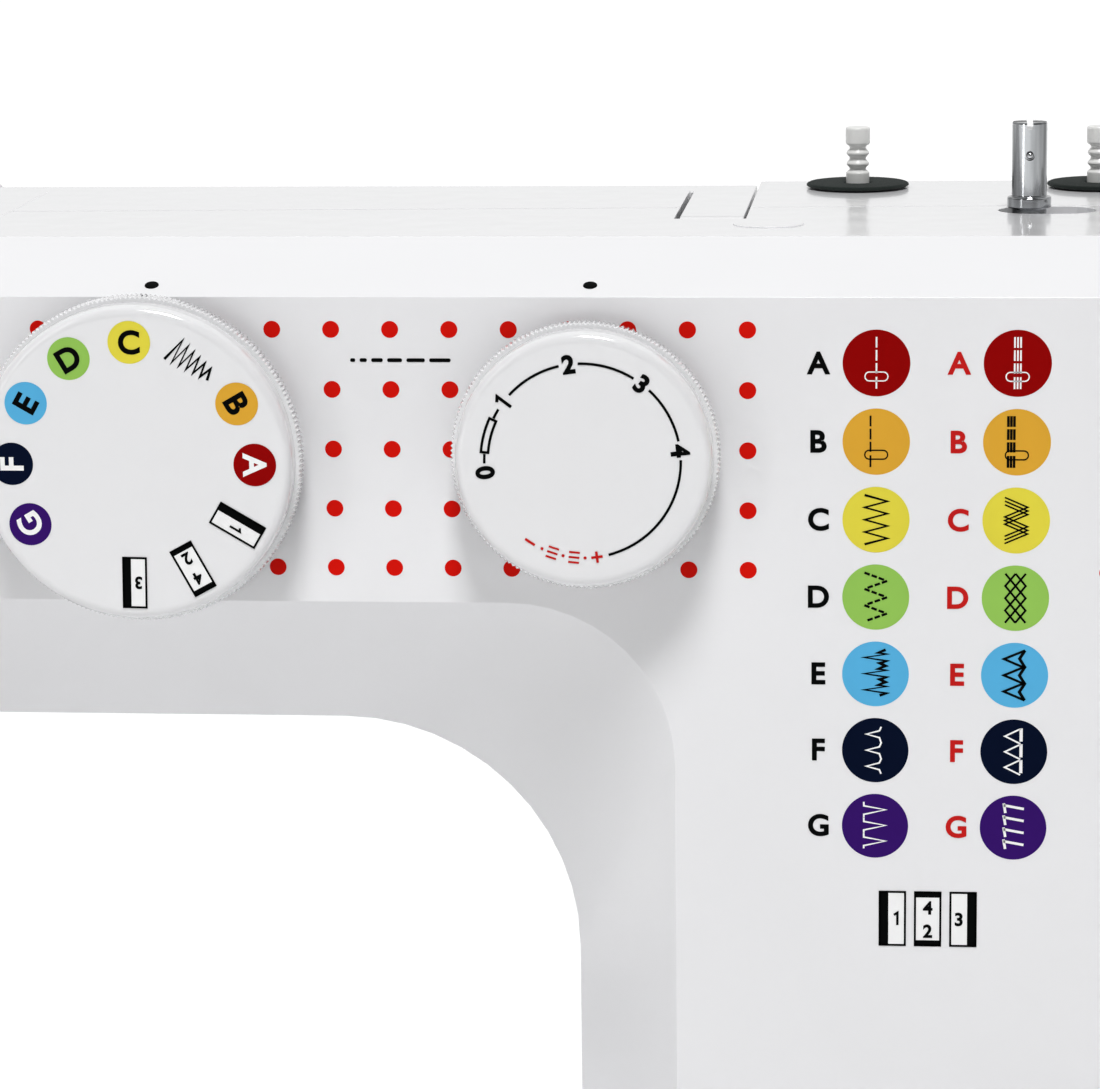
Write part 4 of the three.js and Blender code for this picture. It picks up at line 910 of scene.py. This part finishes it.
def felt_disc(node):
    """A felt washer with a slightly uneven, fuzzy rim."""
    low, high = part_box(node)
    centre = (low + high) / 2
    radius = (high.x - low.x) / 2
    pin_low, pin_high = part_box(node.replace("felt", "pin"))
    bore = (pin_high.x - pin_low.x) / 2 + 0.3 * MM
    thick = 0.75 * (high.z - low.z)
    top = low.z + thick
    profile = [
        (bore, low.z), (radius - 0.4 * MM, low.z), (radius - 0.05 * MM, low.z + thick * 0.3),
        (radius - 0.1 * MM, low.z + thick * 0.7), (radius - 0.5 * MM, top),
        (bore + 0.3 * MM, top), (bore, top - 0.2 * MM), (bore, low.z),
    ]

    def fuzz(angle, ring_radius, along):
        wobble = math.sin(17 * angle) + math.sin(41 * angle + 1) + math.sin(73 * angle + along * 9000)
        return ring_radius - (0.04 * MM * (1 + wobble / 3) if ring_radius > radius / 2 else 0)

    made = piece(f"{node}_pad", turned(profile, "z", centre, 180, fuzz), FELT, "root", crease=60)
    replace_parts(made, node)


def winder():
    """The winder's spindle with its slotted tip and detent ball, and the shutter in its slot."""
    low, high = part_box("winder_spindle")
    centre = (low + high) / 2
    radius, brim, disc = 3.1 * MM, 3.9 * MM, 9 * MM
    flange = TOP + 0.5 * MM
    flange_top = flange + 2 * MM
    disc_top, disc_bottom = TOP - 14 * MM, TOP - 19 * MM
    stem = [
        (0, high.z), (radius, high.z), (radius, flange_top), (brim, flange_top), (brim, flange),
        (radius, flange), (radius, disc_top), (disc, disc_top), (disc, disc_bottom),
        (radius, disc_bottom), (radius, low.z), (0, low.z),
    ]
    spindle = turned(fillet(stem, 0.35 * MM, 3), "z", centre, 64)
    for half, depth in (((0.55 * MM, 5 * MM), 1.2 * MM), ((5 * MM, 0.5 * MM), 0.7 * MM)):
        slit = slab(rectangle(centre, half), "z", high.z - depth, high.z + 2 * MM)
        spindle = carved(spindle, [slit])
    front = centre.y - radius
    ball_place = Vector((centre.x, front, flange + 9.5 * MM))
    ball_radius, hole_radius = 0.65 * MM, 0.9 * MM
    hole = [(0, front - MM), (hole_radius, front - MM), (hole_radius, front + MM), (0, front + MM)]
    spindle = carved(spindle, [turned(hole, "y", ball_place, 24)])
    # The spindle's colour carries painted reflection streaks, dark and light, running up and down.
    made = piece("winder_spindle_plated_painted_streaks", spindle, PLATED_PAINTED_STREAKS, "winder_spindle", crease=35)
    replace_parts(made, "winder_spindle")
    turns = [math.pi * step / 10 for step in range(11)]
    arc = [(ball_radius * math.sin(a), front + 0.35 * MM - ball_radius * math.cos(a)) for a in turns]
    ball = turned(arc, "y", ball_place, 24)
    piece("winder_spindle_ball", ball, CHROME, "winder_spindle")
    start = (centre.x - 3.6 * MM, centre.y - 8 * MM)
    end = (centre.x + 24 * MM, centre.y + 8 * MM)
    plate = slab(rounded_box(start, end, 2 * MM), "z", TOP - 4.2 * MM, TOP - 3.2 * MM)
    gap = radius + 0.3 * MM
    hole = turned([(0, TOP - 8 * MM), (gap, TOP - 8 * MM), (gap, TOP), (0, TOP)], "z", centre, 32)
    plate = eased(carved(plate, [hole]), 0.15 * MM)
    piece("winder_slot_shutter", plate, SHUTTER, "winder_arm")


def stopper():
    """The fluted stopper that ends the winding when the bobbin is full."""
    low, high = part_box("winder_stopper")
    centre = (low + high) / 2
    radius = (high.x - low.x) / 2
    profile = [(0, high.z), (radius - MM, high.z), (radius, low.z + 3 * MM), (radius, low.z), (0, low.z)]
    ripple = flutes(20, 0.18 * MM, radius * 0.8)
    cap = turned(fillet(profile, 0.8 * MM, 5), "z", centre, 160, ripple)
    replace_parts(piece("winder_stopper_cap", cap, CREAM, "root", 45), "winder_stopper")


def lozenge():
    """The faint raised pad on top, between the handle and the winder."""
    centre = middle("spool_pin_left")
    low = (centre.x - 20.4 * MM, FACE + 31 * MM)
    high = (centre.x - 8 * MM, FACE + 42.5 * MM)
    pad = slab(rounded_box(low, high, 5.4 * MM, 8), "z", TOP - 0.6 * MM, TOP + 0.22 * MM)
    piece("top_pad", eased(pad, 0.2 * MM, segments=3), WHITE, "root")


# ---- handwheel and electrics


def handwheel():
    """A wheel with finger grips round its rim, a sunk middle and a hollow back."""
    low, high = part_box("handwheel")
    centre = (low + high) / 2
    radius = (high.z - low.z) / 2
    bore, hub, rim = 5.3 * MM, 14 * MM, radius - 5 * MM
    face, pocket, seat = high.x - 2.5 * MM, low.x + 6 * MM, high.x - 6 * MM
    profile = [
        (0, face), (16 * MM, face), (17 * MM, high.x - 2.2 * MM), (20 * MM, high.x), (rim, high.x),
        (radius - 1.5 * MM, high.x - 1.5 * MM), (radius, high.x - 5 * MM), (radius, low.x + 1.5 * MM),
        (radius - 1.5 * MM, low.x), (rim, low.x), (rim, pocket), (hub, pocket), (hub, low.x),
        (bore, low.x), (bore, seat), (0, seat),
    ]
    grips = 36
    ripple = flutes(grips, 0.7 * MM, radius - 0.9 * MM, power=2)
    wheel = turned(fillet(profile, 1.1 * MM, 5), "x", centre, grips * 8, ripple)
    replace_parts(piece("handwheel_rim", wheel, DIAL_WHITE, "handwheel", crease=45), "handwheel")


def inlet():
    """The power inlet with its two pins, and the power switch."""
    low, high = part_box("power_inlet")
    centre = (low + high) / 2
    softened("power_inlet", BLACK, 0.4 * MM)
    pin, tip, foot = 1.2 * MM, high.x - 2.5 * MM, low.x + 4 * MM
    profile = fillet([(0, tip), (pin, tip), (pin, foot), (0, foot)], 0.5 * MM, 4)
    for place, side in (("front", -1), ("rear", 1)):
        made = turned(profile, "x", (0, centre.y + side * 4 * MM, centre.z), 24)
        piece(f"inlet_pin_{place}", made, BRASS, "root")
    softened("power_switch", BLACK, 0.5 * MM, segments=3)


# ---- bed, feet and needle end


def feet():
    for node in ("foot_front_left", "foot_rear_left", "foot_front_right", "foot_rear_right"):
        low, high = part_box(node)
        radius = (high.x - low.x) / 2
        profile = [(0, low.z)]
        for ring in range(4):
            inner = radius * (0.2 + 0.18 * ring)
            profile += [(inner, low.z), (inner + 0.5 * MM, low.z + 0.6 * MM), (inner + 1.0 * MM, low.z)]
        profile += [(radius - 0.8 * MM, low.z), (radius, low.z + 0.8 * MM), (radius, high.z), (0, high.z)]
        pad = turned(profile, "z", (low + high) / 2, 48)
        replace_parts(piece(f"{node}_pad", pad, RUBBER, "root", 35), node)


def needle_plate_marks():
    """Fine engraved seam guides across the needle plate, as dark hairlines."""
    low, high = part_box("needle_plate")
    half = (0.12 * MM, (high.y - low.y) / 2 - 3 * MM)
    lines = []
    for distance in (10, 15, 20, 25):
        for side in (-1, 1):
            x = middle("needle").x + side * distance * MM
            if low.x + MM < x < high.x - MM:
                outline = rectangle((x, (low.y + high.y) / 2), half)
                lines.append(slab(outline, "z", high.z - 0.05 * MM, high.z + 0.02 * MM))
    piece("needle_plate_guides", merged(lines), PRINTED["black"], "root")


def thread_path():
    """Wire guides where the upper thread runs: one on the top and one on the needle clamp."""
    start, y = middle("needle").x - 14 * MM, 4 * MM
    bend, reach = TOP + 3 * MM, 5 * MM
    hook = [(start, y, TOP - 1.5 * MM), (start, y, bend)]
    for step in range(1, 8):
        turn = math.pi * step / 8
        hook.append((start + reach * (1 - math.cos(turn)), y, bend + 3.5 * MM * math.sin(turn)))
    hook += [(start + 2 * reach, y, bend), (start + 2 * reach, y, TOP + 1.2 * MM)]
    piece("top_thread_guide", tube(hook, 0.7 * MM), CHROME, "root")
    clamp = middle("needle_clamp")
    x, z = clamp.x - 3.6 * MM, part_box("needle_clamp")[0].z - 0.2 * MM
    turns = [2 * math.pi * step / 14 for step in range(13)]
    loop = [(x + 2.2 * MM * math.sin(a), clamp.y - 4.2 * MM, z + 1.2 * MM * math.cos(a)) for a in turns]
    piece("needle_thread_guide", tube(loop, 0.4 * MM, 10), CHROME, "needle_bar")


def reverse_lever():
    """The paddle of the reverse lever, with five finger grooves across its front."""
    low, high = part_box("reverse_lever")
    centre = (low + high) / 2
    span = (low.x + 2.5 * MM, high.x - 2.5 * MM)
    grooves = []
    for step in range(-2, 3):
        z = centre.z + step * 2.1 * MM
        outline = [(low.y - MM, z - 0.5 * MM), (low.y + 0.5 * MM, z - 0.35 * MM),
                   (low.y + 0.5 * MM, z + 0.35 * MM), (low.y - MM, z + 0.5 * MM)]
        grooves.append(slab(outline, "x", *span))
    softened("reverse_lever", DIAL_WHITE, 0.5 * MM, tools=grooves, crease=32.0, segments=3)


def mechanism():
    """The mechanism, the levers and the clear parts keep their CAD shape, with eased edges."""
    looks = {
        STEEL: ["needle_plate", "crank_disc", "lower_gear", "rotary_hook", "connecting_rod",
                "needle_clamp", "foot_holder", "feed_dog", "motor_pulley", "main_shaft",
                "lower_shaft", "presser_spring"],
        CHROME: ["take_up_lever", "needle_bar", "needle", "presser_bar", "presser_foot"],
        CASTING: ["arm_frame", "bed_frame", "needle_bar_cradle", "feed_bar"],
        ENAMEL: ["motor"],
        BLACK: ["lower_pulley", "bobbin_case"],
        RUBBER: ["drive_belt", "timing_belt"],
        CREAM: ["presser_lifter", "drop_feed_lever", "pattern_cam", "winder_arm"],
        CLEAR: ["bobbin_cover", "bobbin"],
        LENS: ["lamp_lens"],
    }
    small = {"needle", "presser_spring", "feed_dog", "bobbin", "needle_clamp"}
    for material, nodes in looks.items():
        for node in nodes:
            softened(node, material, (0.08 if node in small else 0.3) * MM, crease=32.0)


# ---- studio


# Brightness at places from the front wall (0) to the back wall (1), the two ends first.
WALLS = [(0.0, 0.14), (1.0, 0.84), (0.36, 0.22), (0.62, 0.66)]
DISPLAY_GAMMA = 0.85
FLOOR_RADIUS = 14.0
FLOOR_TONE = 0.91
SUN_FROM = Vector((0.04, -0.43, 0.9))
SUN_POWER, SUN_SPREAD = 2.45, 16  # the spread in degrees
STRIP_PLACE, STRIP_TARGET = Vector((-0.75, -0.9, 0.55)), Vector((0.1, 0, 0.25))
STRIP_SIZE, STRIP_POWER = (0.12, 1.1), 1.2


def lamp(name, kind, power, place, backwards):
    """A lamp whose light travels against the direction `backwards`."""
    data = bpy.data.lights.new(name, kind)
    data.energy = power
    made = bpy.data.objects.new(name, data)
    made.location = place
    made.rotation_euler = backwards.to_track_quat("Z", "Y").to_euler()
    bpy.context.scene.collection.objects.link(made)
    return data


def studio():
    """A room dim at the front and bright at the back, a soft sun above, and a strip lamp on the left."""
    scene = bpy.context.scene
    scene.view_settings.view_transform = "Standard"
    scene.view_settings.gamma = DISPLAY_GAMMA
    world = bpy.data.worlds.new("studio")
    world.use_nodes = True
    nodes, links = world.node_tree.nodes, world.node_tree.links
    direction = nodes.new("ShaderNodeTexCoord")
    split = nodes.new("ShaderNodeSeparateXYZ")
    spread = nodes.new("ShaderNodeMapRange")
    spread.inputs["From Min"].default_value = -1.0
    walls = nodes.new("ShaderNodeValToRGB")
    for index, (place, value) in enumerate(WALLS):
        stop = walls.color_ramp.elements[index] if index < 2 else walls.color_ramp.elements.new(place)
        stop.position = place
        stop.color = (value, value, value, 1.0)
    links.new(direction.outputs["Generated"], split.inputs["Vector"])
    links.new(split.outputs["Y"], spread.inputs["Value"])
    links.new(spread.outputs["Result"], walls.inputs["Fac"])
    links.new(walls.outputs["Color"], nodes["Background"].inputs["Color"])
    scene.world = world
    bm = bmesh.new()
    bmesh.ops.create_circle(bm, cap_ends=True, segments=96, radius=FLOOR_RADIUS)
    mesh = bpy.data.meshes.new("floor")
    bm.to_mesh(mesh)
    bm.free()
    floor = bpy.data.objects.new("floor", mesh)
    bpy.context.scene.collection.objects.link(floor)
    tone = (FLOOR_TONE, FLOOR_TONE, FLOOR_TONE)
    mesh.materials.append(surface("floor_white", tone, 0.9, shine=0.0, grain=(0.1, 20.0), uneven=0.004))
    sun = lamp("key", "SUN", SUN_POWER, (0, 0, 0), SUN_FROM)
    sun.angle = math.radians(SUN_SPREAD)
    strip = lamp("strip", "AREA", STRIP_POWER, STRIP_PLACE, STRIP_PLACE - STRIP_TARGET)
    strip.shape = "RECTANGLE"
    strip.size, strip.size_y = STRIP_SIZE


CAMERA_PLACE = (108.3 * MM, -690.5 * MM, 372.6 * MM)
HEADING, TILT_DOWN, ROLL = 5.78, 11.48, -0.76  # degrees
SENSOR_WIDTH, FOCAL_LENGTH = 36.0, 130.9  # millimetres


def camera():
    data = bpy.data.cameras.new("camera")
    data.sensor_width = SENSOR_WIDTH
    data.lens = FOCAL_LENGTH
    data.clip_end = 60
    made = bpy.data.objects.new("camera", data)
    made.location = CAMERA_PLACE
    heading = Matrix.Rotation(math.radians(HEADING), 3, "Z")
    pitch = Matrix.Rotation(math.radians(90 - TILT_DOWN), 3, "X")
    roll = Matrix.Rotation(math.radians(ROLL), 3, "Z")
    made.rotation_euler = (heading @ pitch @ roll).to_euler()
    bpy.context.scene.collection.objects.link(made)
    bpy.context.scene.camera = made


casings()
case_screws()
pattern_dial()
length_dial()
tension_dial()
casing_prints()
index_marks()
for side in ("left", "right"):
    spool_pin(f"spool_pin_{side}")
    felt_disc(f"spool_felt_{side}")
winder()
stopper()
lozenge()
handwheel()
inlet()
feet()
reverse_lever()
mechanism()
needle_plate_marks()
thread_path()
studio()
camera()
